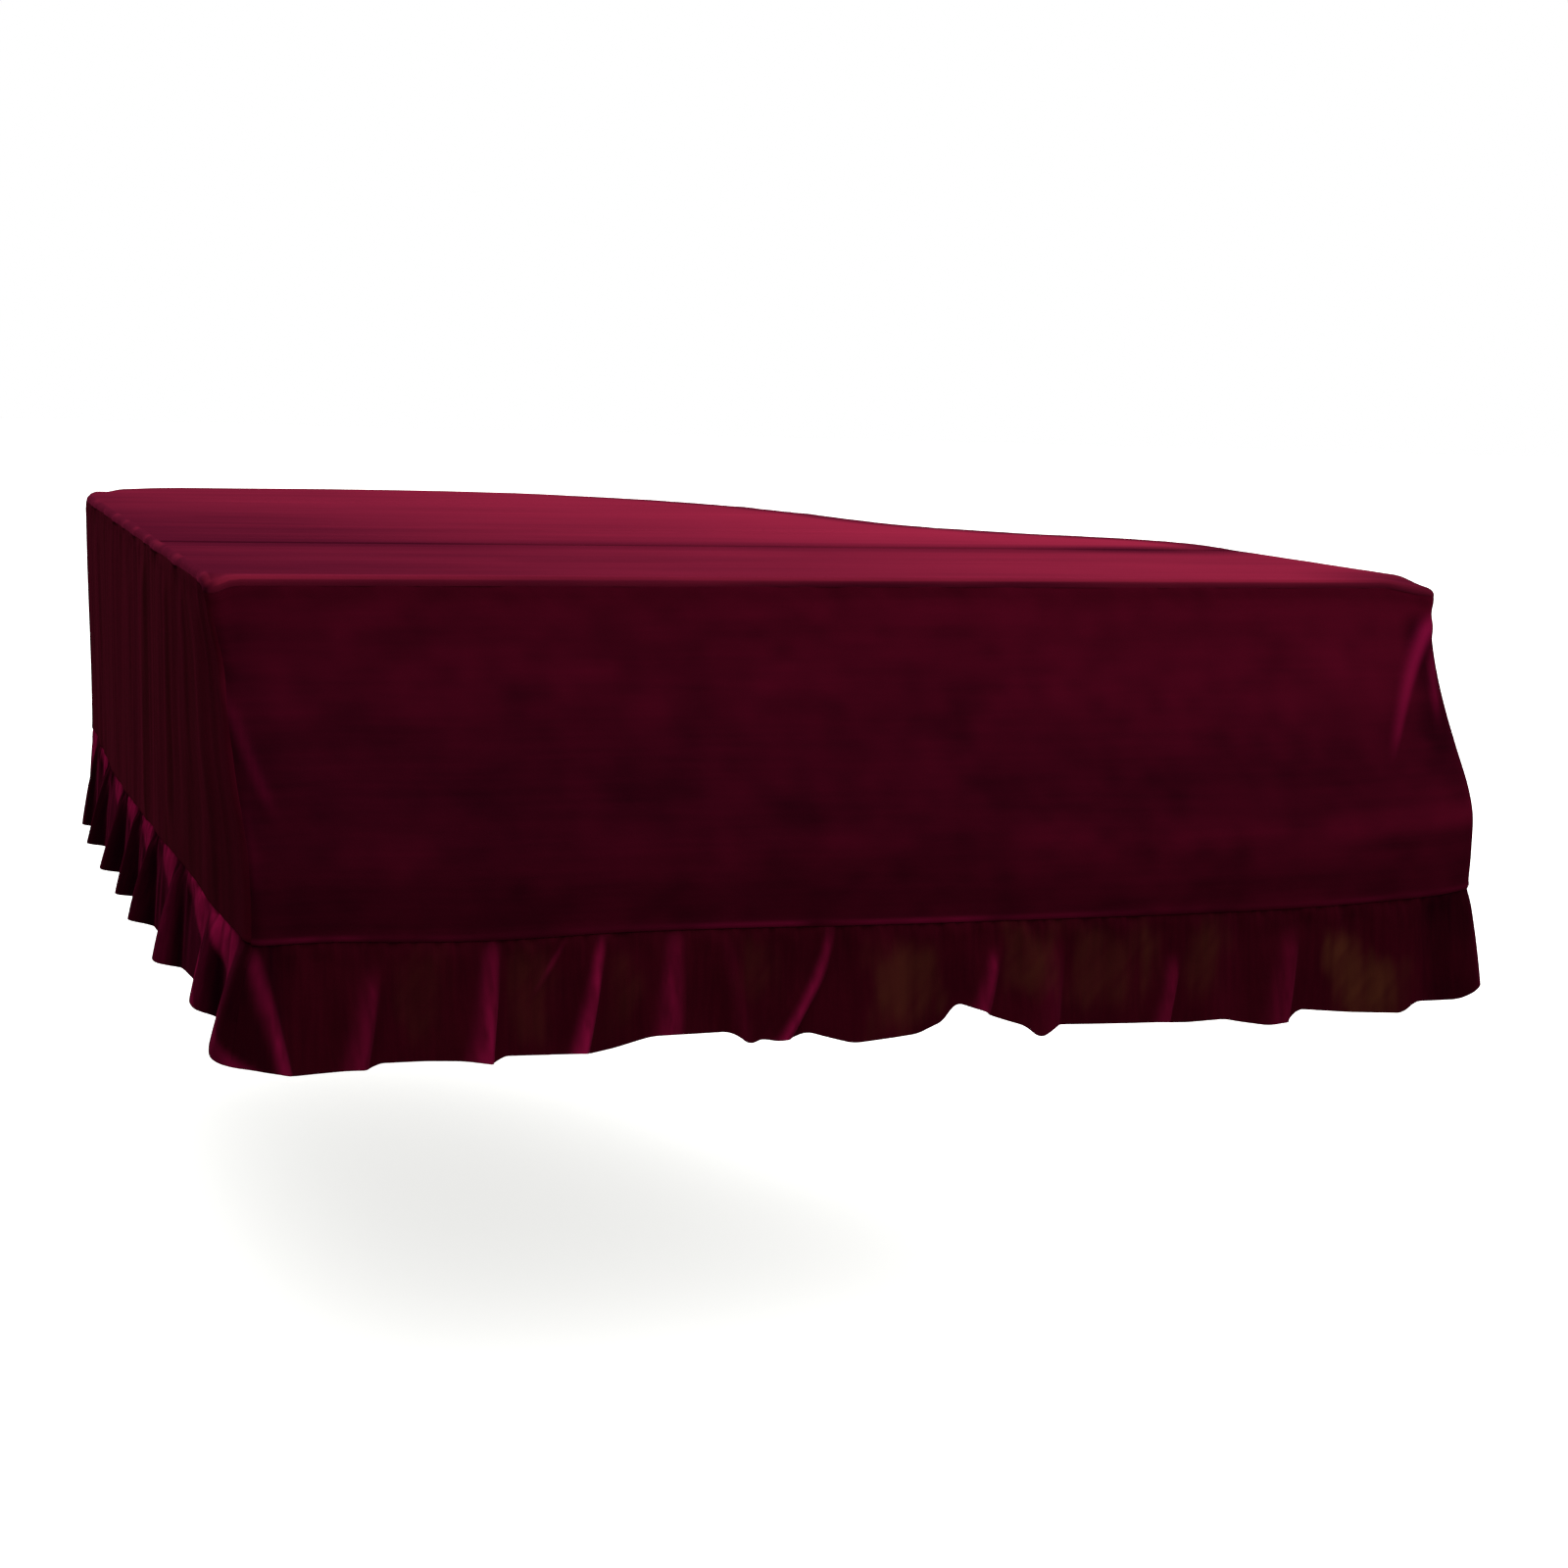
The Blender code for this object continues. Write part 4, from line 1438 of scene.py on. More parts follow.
    def brushed_and_lit(self, plan: np.ndarray, turned: np.ndarray, s: np.ndarray) -> np.ndarray:
        """Work out the painted light and shade, from 0, dark, to 1, light, with painted highlights.

        Args:
            plan: Plan positions.
            turned: How far the cloth has turned down over the edge, from 0 to 1.
            s: Distances along the outline, for the points of the rim.

        Returns:
            How light it is painted at each point.
        """
        x, y = plan[..., 0], plan[..., 1]
        light_level = self.light_on_lid(x, y)
        on_rim = turned > 0
        on_front = (s < self.drape.lid.ends[Side.FRONT]) & on_rim
        front = light_level * (1.0 - self.front_turn.after(turned))
        front = np.maximum(front, self.rolled_light * (turned > self.rolled_from))
        light_level = np.where(on_front, front, light_level * (1.0 - ease(turned / self.side_turn)))
        beads = np.clip(self.bead_waves.at(s) - self.bead_gap, 0.0, 1.0)
        beads = self.bead_glow * beads * self.near_bass(x) * on_rim
        beads = beads * hump(turned - self.bead_at, self.bead_half)
        return np.clip(light_level + beads, 0.0, 1.0)

    def build(self) -> bpy.types.Object:
        """Build the flat grid, roll its rim over the edge and finish the piece.

        Returns:
            The finished piece.
        """
        stations = self.stations()
        plan = self.flat_plan(stations)
        flat = self.drape.in_frame(plan, self.level(plan)).transpose(1, 0, 2)[::-1]
        cloth_uv = plan.transpose(1, 0, 2)[::-1]
        piece = self.lay_grid(flat, cloth_uv, {})
        self.roll_rim(piece, stations)
        self.finish_piece(piece)
        return piece

    def rim_profile(self) -> list[tuple[float, float, float]]:
        """Work out the rim's section, as rings that turn down over the edge.

        Returns:
            Each ring's spread from the flat's edge, its depth, and its share of the turn.
        """
        drape = self.drape
        turns = np.linspace(0.0, 1.0, self.roll_steps + 1)[1:]
        angles = turns * math.pi / 2
        rings = [(math.sin(a), drape.edge_radius * (1 - math.cos(a)), t) for a, t in zip(angles, turns)]
        return [*rings, (1.0, drape.edge_radius + drape.turn_down, 1.0)]

    def number_rim(self, mesh: bpy.types.Mesh, columns: int) -> int:
        """Number the flat's outer vertices in order round the outline, from its front left corner.

        Args:
            mesh: The mesh of the flat grid.
            columns: How many columns it has.

        Returns:
            How many vertices the rim has.
        """
        index = np.arange(len(mesh.vertices)).reshape(-1, columns)
        loop = [*index[0, :-1], *index[:-1, -1], *index[-1, :0:-1], *index[:0:-1, 0]]
        values = np.full(len(mesh.vertices), -1)
        values[loop] = np.arange(len(loop))
        mesh.attributes.new("station", "INT", "POINT").data.foreach_set("value", values)
        return len(loop)

    def extrude_rim(self, rings: int) -> None:
        """Extrude the open edge of the active grid, once for each ring.

        Args:
            rings: How many rings the rim has.
        """
        bpy.ops.object.mode_set(mode="EDIT")
        bpy.ops.mesh.select_mode(type="EDGE")
        bpy.ops.mesh.select_all(action="DESELECT")
        bpy.ops.mesh.select_non_manifold(
            extend=False,
            use_wire=False,
            use_boundary=True,
            use_multi_face=False,
            use_non_contiguous=False,
            use_verts=False,
        )
        for _ in range(rings):
            bpy.ops.mesh.extrude_edges_move()
        bpy.ops.object.mode_set(mode="OBJECT")

    def rim_stations(self, mesh: bpy.types.Mesh, edge: np.ndarray) -> np.ndarray:
        """Read which station of the rim each vertex belongs to, and drop the numbering.

        Args:
            mesh: The mesh with its rim extruded.
            edge: The stations' distances along the outline, in order.

        Returns:
            The distance along the outline of each vertex.
        """
        which = np.zeros(len(mesh.vertices), int)
        mesh.attributes["station"].data.foreach_get("value", which)
        mesh.attributes.remove(mesh.attributes["station"])
        return edge[which]

    def roll_rim(self, piece: bpy.types.Object, stations: dict[Side, np.ndarray]) -> None:
        """Roll the rim ring by ring over the lid's edge; mark the cloth and its painted light and shade.

        Args:
            piece: The flat grid.
            stations: Where its columns and rows meet the rim.
        """
        drape, lid = self.drape, self.drape.lid
        mesh = piece.data
        flat_count = len(mesh.vertices)
        rim_count = self.number_rim(mesh, len(stations[Side.FRONT]))
        profile = self.rim_profile()
        self.extrude_rim(len(profile))
        s = self.rim_stations(mesh, np.concatenate([row[:-1] for row in stations.values()]))
        points = self.read_points(mesh)
        turned = np.zeros(len(points))
        cut = points[:, :2] + (lid.width / 2, drape.setback)
        for ring, (spread, level, turn) in enumerate(profile):
            first = flat_count + ring * rim_count
            chosen = slice(first, first + rim_count)
            out = lid.outward(s[chosen])
            spots = lid.at(s[chosen]) - drape.edge_radius * (1.0 - spread) * out
            depth = level + drape.dips(spots, np.full(len(spots), level))
            points[chosen] = drape.in_frame(spots + self.pucker(s[chosen], turn)[:, None] * out, depth)
            cut[chosen] = spots + level * out
            turned[chosen] = turn
        mesh.vertices.foreach_set("co", points.astype(np.float32).ravel())
        # The stored value is painted light and shade, with painted highlights on the bass side's puckers.
        self.mark(mesh, cut, {"brushed_and_lit": self.brushed_and_lit(cut, turned, s)})
        mesh.update()

    def pucker(self, s: np.ndarray, turn: float) -> np.ndarray:
        """Work out how far the seam's stitches draw the rim in and out.

        Args:
            s: Distances along the outline.
            turn: How far the cloth has turned down over the edge, from 0 to 1.

        Returns:
            The distance at each place, outwards.
        """
        drape = self.drape
        on_bass = ease((s - drape.lid.ends[Side.TAIL]) / self.pucker_fade)
        drawn = self.stitch_waves.at(s) + self.bass_puckers.at(s) * on_bass
        return turn * (drawn * drape.clear_of_corners(s, self.pucker_calm) + drape.point(s))


@dataclass
class Fall(Sheet):
    """A fall: an upright panel from the top panel's rim down to the ruffle's seam."""

    side: Side = Side.FRONT
    drape: Drape = field(default_factory=lambda: Drape(LidOutline()))
    pitch: float = 5.0 * MM
    lip_pitch: float = 2.5 * MM
    flat_ease: float = 1.04
    # The foot rolls out over the ruffle's seam, with a painted highlight along it.
    lip: float = 0.8 * MM
    lip_height: float = 10.0 * MM
    lip_bulge: float = 1.5
    side_lip: float = 0.4
    lip_glow: float = 0.25
    lip_glow_above: float = 3.0 * MM
    lip_glow_half: float = 5.0 * MM
    lip_mean: float = 0.65
    lip_waves: tuple[Waves, ...] = (Waves(0.35, 0.025, 1.0, 43), Waves(0.45, 0.070, 1.0, 55))
    # Painted light and shade on the other sides, darker downwards and lighter at the bass corner, with
    # upright streaks, and how brown their pile is.
    side_light: float = 0.30
    side_dim: float = 0.22
    side_waves: tuple[Waves, ...] = (Waves(0.20, 0.010, 0.60, 44), Waves(0.17, 0.030, 0.80, 45))
    bass_corner: float = 0.160
    bass_corner_lift: float = 0.22
    bass_edge: float = 0.025
    bass_edge_lift: float = 0.45
    side_brown: float = 0.05
    spine_brown: float = 0.17
    spine_brown_from: Fade = Fade(-0.10, 0.30)
    corner_less_brown: float = 0.85
    brown_mean: float = 0.8
    brown_waves: Waves = Waves(0.4, 0.022, 0.5, 46)
    # Painted shade in the slack at the treble end: its share of the side, its depths and how much it
    # darkens.
    slack_from: Fade = Fade(0.962, 0.02)
    slack_top: Fade = Fade(0.02, 0.04)
    slack_foot: Fade = Fade(0.26, 0.08)
    slack_dim: float = 0.75
    # The shade at the bass end: its distance from the corner, its depths and its strength.
    corner_within: Fade = Fade(0.060, 0.050)
    corner_top: Fade = Fade(0.03, 0.04)
    corner_foot: Fade = Fade(0.36, 0.04)
    corner_dim: float = 0.55
    # Painted light and shade at the ledge where the front starts to hang upright: a lighter band
    # above a darker one, each with its depth and half its width.
    ledge_glow: float = 0.24
    ledge_light: tuple[float, float] = (0.274, 0.020)
    ledge_dark: tuple[float, float] = (0.300, 0.014)
    ledge_waves: Waves = Waves(0.004, 0.22, 1.0, 47)
    ledge_mean: float = 0.6
    ledge_breaks: Waves = Waves(0.8, 0.09, 1.0, 48)
    ledge_from: Fade = Fade(0.50, 0.25)
    ledge_whole: Fade = Fade(0.90, 0.05)
    # The blots that handling leaves on the front.
    mottle_waves: tuple[Waves, ...] = (
        Waves(0.28, 0.026, 0.020, 49),
        Waves(0.20, 0.075, 0.028, 50),
    )
    mottle_full: float = 0.4

    def brushed_and_lit(self, s: np.ndarray, depth: np.ndarray) -> np.ndarray:
        """Work out the painted light and shade, from 0, dark, to 1, light.

        Args:
            s: Distances along the outline.
            depth: Depths below the top panel.

        Returns:
            How light it is painted at each point.
        """
        pile = self.front_brushed_and_lit(s, depth) if self.side is Side.FRONT else self.side_brushed_and_lit(s, depth)
        return np.clip(pile, 0.0, 1.0)

    def side_brushed_and_lit(self, s: np.ndarray, depth: np.ndarray) -> np.ndarray:
        """Work out the painted light and shade on the sides and the tail, in upright streaks.

        Args:
            s: Distances along the outline.
            depth: Depths below the top panel.

        Returns:
            How light it is painted at each point.
        """
        base = self.side_light - self.side_dim * depth / self.drape.seam_depth
        base = base + self.bass_corner_lift * self.near_bass_corner(s, self.bass_corner)
        base = base + self.bass_edge_lift * self.near_bass_corner(s, self.bass_edge)
        return base + sum(waves.at(s, depth) for waves in self.side_waves)

    def front_brushed_and_lit(self, s: np.ndarray, depth: np.ndarray) -> np.ndarray:
        """Work out the painted light and shade on the keyboard side.

        Args:
            s: Distances along the outline.
            depth: Depths below the top panel.

        Returns:
            How light it is painted at each point.
        """
        share = s / self.drape.lid.ends[Side.FRONT]
        bass, treble = from_table(FRONT_LIGHT, depth, 1), from_table(FRONT_LIGHT, depth, 2)
        light_level = bass + (treble - bass) * share
        slack = self.slack_from.after(share)
        slack = slack * self.slack_top.after(depth) * self.slack_foot.before(depth)
        corner = self.corner_within.before(s)
        corner = corner * self.corner_top.after(depth) * self.corner_foot.before(depth)
        lost = self.slack_dim * slack + self.corner_dim * corner
        mottle = sum(waves.at(s, depth) for waves in self.mottle_waves)
        mottle = mottle * np.minimum(light_level, self.mottle_full)
        return light_level * (1.0 - lost) + self.ledge(s, share, depth) + mottle

    def ledge(self, s: np.ndarray, share: np.ndarray, depth: np.ndarray) -> np.ndarray:
        """Work out the painted light and shade where the keyboard side starts to hang upright.

        Args:
            s: Distances along the outline.
            share: The same, as shares of the keyboard side.
            depth: Depths below the top panel.

        Returns:
            How much lighter it is painted, or darker where it is below 0.
        """
        waved = depth + self.ledge_waves.at(s)
        light_at, light_half = self.ledge_light
        dark_at, dark_half = self.ledge_dark
        ledge = self.ledge_glow * (hump(waved - light_at, light_half) - hump(waved - dark_at, dark_half))
        broken = np.clip(self.ledge_mean + self.ledge_breaks.at(s), 0.0, 1.0)
        broken = np.maximum(broken, self.ledge_whole.after(share))
        return ledge * self.ledge_from.after(share) * broken

    def near_bass_corner(self, s: np.ndarray, reach: float) -> np.ndarray:
        """Return 1 at the corner of the bass and keyboard sides, falling to 0 at a distance."""
        return ease(1.0 - np.abs(self.drape.lid.offset(s, 0.0)) / reach)

    def brown(self, s: np.ndarray, depth: np.ndarray) -> np.ndarray:
        """Work out how far the brown ground shows: hardly, and not at all on the keyboard side.

        Args:
            s: Distances along the outline.
            depth: Depths below the top panel.

        Returns:
            The state of the pile at each point.
        """
        if self.side is Side.FRONT:
            return np.zeros(s.shape)
        past_tail = s - self.drape.lid.ends[Side.TAIL]
        shown = self.side_brown + self.spine_brown * self.spine_brown_from.after(past_tail)
        shown = shown * (1.0 - self.corner_less_brown * self.near_bass_corner(s, self.bass_corner))
        return shown * (self.brown_mean + self.brown_waves.at(s, depth))

    def seam_painted_highlight(self, s: np.ndarray, depth: np.ndarray) -> np.ndarray:
        """Work out the painted highlight on the front's lower edge, over its seam.

        Args:
            s: Distances along the outline.
            depth: Depths below the top panel.

        Returns:
            How strong the painted highlight is there, from 0 to 1.
        """
        if self.side is not Side.FRONT:
            return np.zeros(s.shape)
        above_seam = depth - self.drape.seam_depth + self.lip_glow_above
        broken = np.clip(self.lip_mean + sum(waves.at(s) for waves in self.lip_waves), 0.0, 1.0)
        return self.lip_glow * hump(above_seam, self.lip_glow_half) * broken * from_table(SEAM_GLOW, s)

    def build(self) -> bpy.types.Object:
        """Build the panel and finish the piece.

        Returns:
            The finished piece.
        """
        drape, lid = self.drape, self.drape.lid
        start, end = lid.start_of(self.side) + drape.corner_gap, lid.ends[self.side] - drape.corner_gap
        allowance = np.array([drape.allowance_step, drape.allowance])
        s = np.concatenate([spaced(start, end, self.pitch), end + allowance])
        foot = drape.seam_depth - self.lip_height
        upper = spaced(drape.head, foot, self.pitch)
        lower = spaced(foot, drape.seam_depth, self.lip_pitch)[1:]
        depth = np.concatenate([drape.head - allowance[::-1], upper, lower])
        s, depth = np.broadcast_arrays(s[None, :], depth[:, None])
        behind = (s > end) | (depth < drape.head)
        turned = np.clip((depth - foot) / self.lip_height, 0.0, 1.0)
        lip = self.lip * (1.0 if self.side is Side.FRONT else self.side_lip)
        out = lip * np.sin(np.pi * turned**self.lip_bulge) - drape.tuck_behind * behind
        points = drape.fall_point(s, np.maximum(depth, drape.head))
        points[..., 2] += np.maximum(drape.head - depth, 0.0)
        points[..., :2] += lid.outward(s) * out[..., None]
        # Painted highlights on fold crests and on the seam's lip, the brown ground, and painted light and
        # shade.
        pile = {
            "painted_highlight": np.maximum(drape.folds(s, depth)[1], self.seam_painted_highlight(s, depth)),
            "brown": self.brown(s, depth),
            "brushed_and_lit": self.brushed_and_lit(s, depth),
        }
        piece = self.lay_grid(points, np.stack([s, depth], axis=-1), pile)
        self.finish_piece(piece)
        return piece


@dataclass
class Ruffle(Sheet):
    """A ruffle: a strip gathered onto the fall's lower edge, hanging free to its hem."""

    side: Side = Side.FRONT
    drape: Drape = field(default_factory=lambda: Drape(LidOutline()))
    pitch: float = 2.6 * MM
    row_pitch: float = 3.6 * MM
    gather: float = 1.22
    flat_ease: float = 1.03
    tuck: float = 1.4 * MM
    side_tuck: float = 0.35
    tuck_height: float = 10.0 * MM
    calm_corner: float = 30.0 * MM
    # The pleats: how narrow they start, how they start and stop, how straight they rise, and how far their
    # painted highlights reach.
    narrow: float = 0.55
    pleat_fade: float = 0.3
    pleat_start: float = 0.3
    straight_rise: float = 0.60
    painted_highlight_before: float = 0.55
    shouldered_before: float = 0.25
    painted_highlight_beyond: float = 0.8
    # The painted highlight on the lit slope before a pleat's crest.
    shoulder_width: float = 42.0 * MM
    shoulder_least: float = 10.0 * MM
    shoulder_short: float = 0.5
    shoulder_back: float = 85.0 * MM
    shoulder_edge: float = 1.5
    shoulder_foot: Fade = Fade(0.60, 0.35)
    shoulder_dim: float = 0.4
    # How the painted highlight on the crests breaks up along the pile.
    painted_highlight_mean: float = 0.80
    painted_highlight_most: float = 1.2
    painted_highlight_waves: tuple[Waves, ...] = (
        Waves(0.30, 0.006, 0.035, 41),
        Waves(0.20, 0.003, 0.012, 42),
    )
    # The gathers: puckers below the seam, folds under them, and waves that grow toward the hem.
    fine_gathers: Waves = Waves(1.6 * MM, 0.0065, 0.06, 31)
    fine_from: float = 4.0 * MM
    fine_to: float = 35.0 * MM
    middle_gathers: Waves = Waves(2.6 * MM, 0.015, 0.09, 32)
    middle_from: float = 20.0 * MM
    middle_to: float = 100.0 * MM
    middle_lost: float = 0.6
    wide_gathers: Waves = Waves(3.0 * MM, 0.034, 0.20, 33)
    # Painted light and shade: the base level, painted shade at the two front corners and on the bass side,
    # and painted highlights on the crests.
    light_level: float = 0.50
    before_treble: Fade = Fade(-0.10, 0.05)
    past_treble: Fade = Fade(0.06, 0.03)
    treble_dim: float = 0.55
    before_bass: Fade = Fade(-0.06, 0.03)
    past_bass: Fade = Fade(0.05, 0.03)
    bass_dim: float = 0.60
    spine_from: Fade = Fade(-0.15, 0.30)
    spine_dim: float = 0.50
    crest_lift: float = 0.14
    crest_out: float = 30.0 * MM
    # The brown patches: how ragged and how mottled they are.
    ragged_waves: tuple[Waves, ...] = (
        Waves(0.011, 0.022, 0.035, 51),
        Waves(0.007, 0.007, 0.05, 53),
    )
    ragged_down: float = 7.0
    patch_edge: float = 30.0 * MM
    patch_fade: float = 0.30
    patch_mean: float = 0.80
    patch_waves: tuple[Waves, ...] = (
        Waves(0.30, 0.010, 0.05, 52, slant=0.8),
        Waves(0.25, 0.009, 0.12, 54),
    )

    def pleats(self, s: np.ndarray, share: np.ndarray) -> dict[str, np.ndarray]:
        """Work out the pleats at places along the outline and shares of the ruffle's depth.

        Args:
            s: Distances along the outline.
            share: How far down the ruffle, from 0 at its seam to 1 at its hem.

        Returns:
            How far the cloth stands "out", how far it leans "along", and the painted highlight on it.
        """
        drape = self.drape
        out = drape.ruffle_flare * share
        along = np.zeros(s.shape)
        glow = np.zeros(s.shape)
        spread = self.narrow + (1.0 - self.narrow) * share
        rising = self.straight_rise * share + (1.0 - self.straight_rise) * (1.0 - (1.0 - share) ** 2)
        for top, foot, ridge in drape.ridge_rows():
            centre = top + (foot - top) * share + ridge.bend * np.sin(np.pi * share)
            offset = drape.lid.offset(s, centre)
            before, beyond = ridge.before * spread, ridge.beyond * spread
            shape = hump(offset, np.where(offset < 0, before, beyond))
            started = ease((share - ridge.start) / self.pleat_fade + self.pleat_start)
            to_hem = 1.0 if ridge.stop == 1.0 else 0.0
            shown = started * ease((ridge.stop - share) / self.pleat_fade + to_hem)
            out = out + ridge.height * rising * shown * shape
            along = along + ridge.lean * rising * shown * shape
            reach = self.shouldered_before if ridge.shoulder else self.painted_highlight_before
            band = ease(1.0 + offset / (reach * before)) * ease(1.0 - offset / (self.painted_highlight_beyond * beyond))
            glow = np.maximum(glow, ridge.glow * band * shown * spread)
            if ridge.shoulder:
                glow = np.maximum(glow, self.shoulder(offset, share, ridge.shoulder))
        broken = self.painted_highlight_mean + sum(w.at(s, share * drape.ruffle_depth) for w in self.painted_highlight_waves)
        return {"out": out, "along": along, "painted_highlight": glow * np.clip(broken, 0.0, self.painted_highlight_most)}

    def shoulder(self, offset: np.ndarray, share: np.ndarray, least: float) -> np.ndarray:
        """Work out the painted highlight on the lit slope before a pleat's crest.

        Args:
            offset: Distances from the crest along the outline.
            share: How far down the ruffle, from 0 to 1.
            least: How strong the painted highlight still is at its foot.

        Returns:
            How strong the painted highlight is, from 0 to 1.
        """
        shorter = np.clip(1.0 - share / self.shoulder_short, 0.0, 1.0)
        width = self.shoulder_width * shorter + self.shoulder_least
        behind = offset + self.shoulder_back * (1.0 - share)
        kept = least + (1.0 - least) * self.shoulder_foot.before(share)
        slope = ease(self.shoulder_edge - np.abs(behind) / width)
        return slope * kept * (1.0 - self.shoulder_dim * share**2)

    def gathers(self, s: np.ndarray, share: np.ndarray) -> np.ndarray:
        """Work out the small puckers below the seam and the softer waves further down.

        Args:
            s: Distances along the outline.
            share: How far down the ruffle, from 0 to 1.

        Returns:
            How far they stand out.
        """
        down = share * self.drape.ruffle_depth
        fine = ease(down / self.fine_from) * (1 - ease(down / self.fine_to))
        middle = ease(down / self.middle_from) * (1 - self.middle_lost * ease(down / self.middle_to))
        out = self.fine_gathers.at(s, down) * fine + self.middle_gathers.at(s, down) * middle
        return out + self.wide_gathers.at(s, down) * share

    def brushed_and_lit(self, s: np.ndarray, out: np.ndarray) -> np.ndarray:
        """Work out the painted shade: in the valleys, at the front's ends and on the bass side.

        Args:
            s: Distances along the outline.
            out: How far the cloth stands out.

        Returns:
            How light it is painted at each point.
        """
        drape = self.drape
        past_front = s - drape.lid.ends[Side.FRONT]
        treble = self.before_treble.after(past_front) * self.past_treble.before(past_front)
        past_start = drape.lid.offset(s, 0.0)
        bass = self.before_bass.after(past_start) * self.past_bass.before(past_start)
        on_spine = self.spine_from.after(s - drape.lid.ends[Side.TAIL]) * (1.0 - drape.on_front(s))
        crests = self.crest_lift * np.clip(out / self.crest_out, 0.0, 1.0)
        lift = self.light_level - self.spine_dim * on_spine + crests * (1.0 - on_spine)
        return np.clip(lift * (1.0 - self.treble_dim * treble) * (1.0 - self.bass_dim * bass), 0.0, 1.0)

    def brown(self, s: np.ndarray, share: np.ndarray) -> np.ndarray:
        """Work out how far the brown ground shows through the crushed pile.

        Args:
            s: Distances along the outline.
            share: How far down the ruffle, from 0 to 1.

        Returns:
            How far it shows at each point, from 0 to 1.
        """
        down = share * self.drape.ruffle_depth
        ragged = sum(waves.at(s, down) for waves in self.ragged_waves)
        mottled = self.patch_mean + sum(waves.at(s, down) for waves in self.patch_waves)
        mottled = np.clip(mottled, 0.0, 1.0)
        shown = np.zeros(s.shape)
        for patch in BROWN_PATCHES:
            x = patch.at_seam + (patch.at_hem - patch.at_seam) * share
            aside = self.drape.lid.offset(s, self.drape.hung_s(x, self.drape.seam_depth))
            wide = ease((patch.half_width - np.abs(aside) + ragged) / self.patch_edge)
            top = patch.top + patch.slant * aside / patch.half_width
            start = ease((share - top + self.ragged_down * ragged) / self.patch_fade)
            stop = ease((patch.foot - share + self.ragged_down * ragged) / self.patch_fade)
            shown = np.maximum(shown, patch.strength * wide * start * stop * mottled)
        return shown

    def build(self) -> bpy.types.Object:
        """Build the strip and finish the piece.

        Returns:
            The finished piece.
        """
        drape, lid = self.drape, self.drape.lid
        first, last = lid.start_of(self.side), lid.ends[self.side]
        start, end = first + drape.corner_gap, last - drape.corner_gap
        allowance = np.array([drape.allowance_step, drape.allowance])
        across = np.concatenate([spaced(start, end, self.pitch), end + allowance])
        rows = np.linspace(0.0, 1.0, math.ceil(drape.ruffle_depth / self.row_pitch) + 1)
        rows = np.concatenate([-allowance[::-1] / drape.ruffle_depth, rows])
        s, down = np.broadcast_arrays(across[None, :], rows[:, None])
        behind = np.where(s > end, drape.tuck_behind, 0.0)
        behind = np.where(down < 0.0, drape.tuck_behind + self.tuck, behind)
        share = np.maximum(down, 0.0)
        form = self.pleats(s, share)
        edge = drape.clear_of_corners(s, self.calm_corner)
        moved = s + form["along"] * edge
        points = drape.fall_point(moved, np.full(s.shape, drape.seam_depth))
        seam_z = points[..., 2].copy()
        free = ease(share * drape.ruffle_depth / drape.seam_hold)
        out = form["out"] * free + self.gathers(s, share) * edge
        on_front = drape.on_front(s)
        tuck = self.tuck * (self.side_tuck + (1.0 - self.side_tuck) * on_front)
        tucked = tuck * (1 - ease(share * drape.ruffle_depth / self.tuck_height))
        points[..., :2] += lid.outward(moved) * (out - tucked - behind)[..., None]
        hem_x = np.broadcast_to(points[-1, :, 0], s.shape)
        rise = drape.hem_rise * (out - drape.ruffle_flare * share) * on_front
        extra = drape.hem_extra(s, hem_x, seam_z) - rise
        allowed = np.minimum(down, 0.0) * drape.ruffle_depth
        points[..., 2] -= drape.seam_gap + share * (drape.ruffle_depth + extra) + allowed
        cloth_uv = np.stack([s, drape.seam_depth + share * drape.ruffle_depth], axis=-1)
        # Painted highlights on crests and shoulders, the brown ground, and painted light and shade.
        pile = {"painted_highlight": form["painted_highlight"], "brown": self.brown(s, share), "brushed_and_lit": self.brushed_and_lit(s, out)}
        piece = self.lay_grid(points, cloth_uv, pile)
        self.finish_piece(piece)
        return piece


# ---------------------------------------------------------------- studio
@dataclass(frozen=True)
class SoftLight:
    """A broad patch of the surroundings that glows towards the scene."""

    aim: tuple[float, float, float]
    rim: float
    middle: float
    strength: float


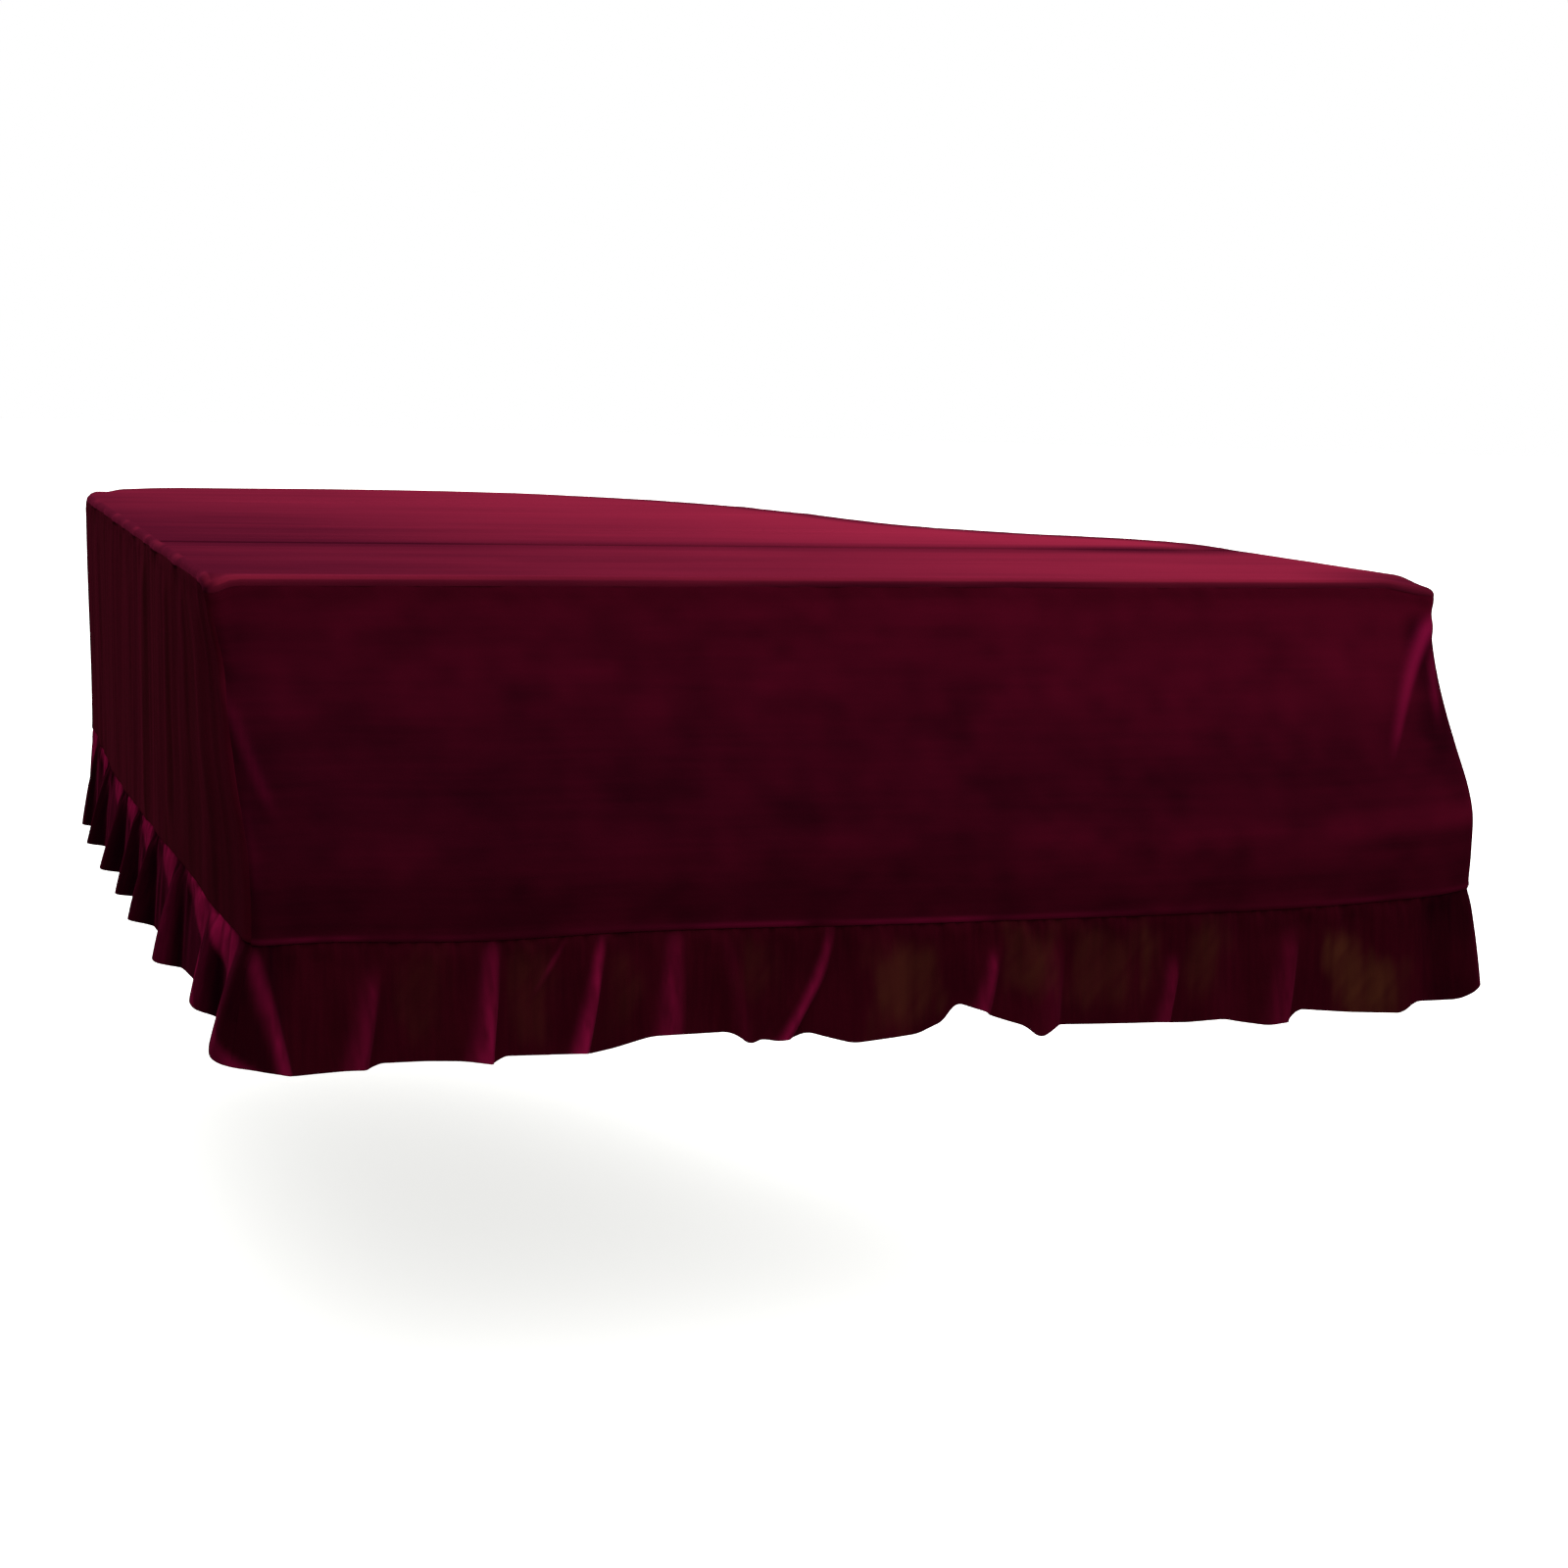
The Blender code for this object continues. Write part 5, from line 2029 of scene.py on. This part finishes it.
@dataclass
class Studio:
    """A plain pale floor, broad soft light from above and a long camera at the keyboard end."""

    floor_drop: float = 1.0
    floor_size: float = 80.0
    floor_paint: str = "#e6e6e4"
    floor_roughness: float = 0.95
    floor_glow: float = 0.85
    backdrop: str = "#ffffff"
    lights: tuple[SoftLight, ...] = (
        SoftLight((0.25, -0.45, 0.85), 0.35, 1.0, 3.0),
        SoftLight((0.30, 0.70, 0.65), 0.35, 1.0, 1.0),
    )
    light_colour: str = "#ffffff"
    fill: float = 0.05
    eye: tuple[float, float, float] = (-1.082, -3.428, 0.229)
    yaw: float = math.radians(20.72)
    pitch: float = math.radians(9.53)
    roll: float = math.radians(2.00)
    focal_px: float = 2498.0
    frame_px: float = 1600.0
    sensor: float = 36.0

    def camera(self) -> None:
        """Place the camera and make it the scene's."""
        ahead = (math.sin(self.yaw), math.cos(self.yaw))
        level_reach = math.cos(self.pitch)
        forward = np.array([ahead[0] * level_reach, ahead[1] * level_reach, -math.sin(self.pitch)])
        level = np.array([ahead[1], -ahead[0], 0.0])
        upright = np.cross(level, forward)
        across = level * math.cos(self.roll) + upright * math.sin(self.roll)
        up = upright * math.cos(self.roll) - level * math.sin(self.roll)
        data = bpy.data.cameras.new("camera")
        data.sensor_width = self.sensor
        data.lens = self.focal_px / self.frame_px * self.sensor
        camera = bpy.data.objects.new("camera", data)
        bpy.context.scene.collection.objects.link(camera)
        turn = Matrix(np.stack([across, up, -forward], axis=1).tolist()).to_4x4()
        turn.translation = self.eye
        camera.matrix_world = turn
        bpy.context.scene.camera = camera

    def floor(self) -> None:
        """Lay a matt painted floor under the cover, which hangs at lid height.

        It glows a little of its own, so that it is as pale as the backdrop around a faint shadow.
        """
        bpy.ops.object.select_all(action="DESELECT")
        bpy.ops.mesh.primitive_plane_add(size=self.floor_size, location=(0, 0, -self.floor_drop))
        floor = bpy.context.object
        floor.name = "floor"
        floor.visible_diffuse = False
        material = bpy.data.materials.new("matt_floor_paint")
        material.use_nodes = True
        shader = material.node_tree.nodes["Principled BSDF"]
        shader.inputs["Base Color"].default_value = linear(self.floor_paint)
        shader.inputs["Roughness"].default_value = self.floor_roughness
        shader.inputs["Specular IOR Level"].default_value = 0.0
        shader.inputs["Emission Color"].default_value = linear(self.floor_paint)
        shader.inputs["Emission Strength"].default_value = self.floor_glow
        floor.data.materials.append(material)

    def glow(
        self, tree: bpy.types.NodeTree, looking: bpy.types.NodeSocket, light: SoftLight
    ) -> bpy.types.NodeSocket:
        """Add the glow of one soft light to the surroundings.

        Args:
            tree: The world's node tree.
            looking: Which way a ray looks.
            light: The light.

        Returns:
            How strongly the surroundings glow that way.
        """
        aim = (np.array(light.aim) / np.linalg.norm(light.aim)).tolist()
        facing = add_node(tree, "ShaderNodeVectorMath", {0: looking, 1: aim}, operation="DOT_PRODUCT")
        spread = {
            "Value": facing.outputs["Value"],
            "From Min": light.rim,
            "From Max": light.middle,
            "To Max": light.strength,
        }
        glow = add_node(tree, "ShaderNodeMapRange", spread, interpolation_type="SMOOTHSTEP")
        return glow.outputs["Result"]

    def light(self) -> None:
        """Surround the scene with soft light, which the camera sees as a plain pale backdrop."""
        world = bpy.data.worlds.new("studio")
        world.use_nodes = True
        bpy.context.scene.world = world
        bpy.context.scene.view_settings.view_transform = "Standard"
        tree = world.node_tree
        looking = add_node(tree, "ShaderNodeTexCoord").outputs["Generated"]
        total = self.fill
        for light in self.lights:
            terms = {0: self.glow(tree, looking, light), 1: total}
            total = add_node(tree, "ShaderNodeMath", terms, operation="ADD").outputs[0]
        lit = tree.nodes["Background"]
        lit.inputs["Color"].default_value = linear(self.light_colour)
        tree.links.new(total, lit.inputs["Strength"])
        seen = add_node(tree, "ShaderNodeBackground", {"Color": linear(self.backdrop), "Strength": 1.0})
        path = add_node(tree, "ShaderNodeLightPath").outputs["Is Camera Ray"]
        mix = add_node(tree, "ShaderNodeMixShader", {0: path, 1: lit.outputs[0], 2: seen.outputs[0]})
        tree.links.new(mix.outputs[0], tree.nodes["World Output"].inputs["Surface"])

    def build(self) -> None:
        """Build the whole studio."""
        self.camera()
        self.floor()
        self.light()


def main() -> None:
    """Build every sheet in order, then the studio, and note the sizes."""
    logging.basicConfig(level=logging.INFO, format="%(name)s: %(message)s")
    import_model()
    drape = Drape(LidOutline())
    pieces: list[Sheet] = [TopPanel("top_panel", "top_velvet", TOP_VELVET, drape=drape)]
    for side in Side:
        pieces.append(Fall(f"{side.value}_fall", "fall_velvet", FALL_VELVET, side=side, drape=drape))
        pieces.append(Ruffle(f"{side.value}_ruffle", "ruffle_velvet", RUFFLE_VELVET, side=side, drape=drape))
    for sheet in pieces:
        piece = sheet.build()
        log.info("%s: %d faces", piece.name, len(piece.data.polygons))
    Studio().build()


if __name__ == "__main__":
    main()
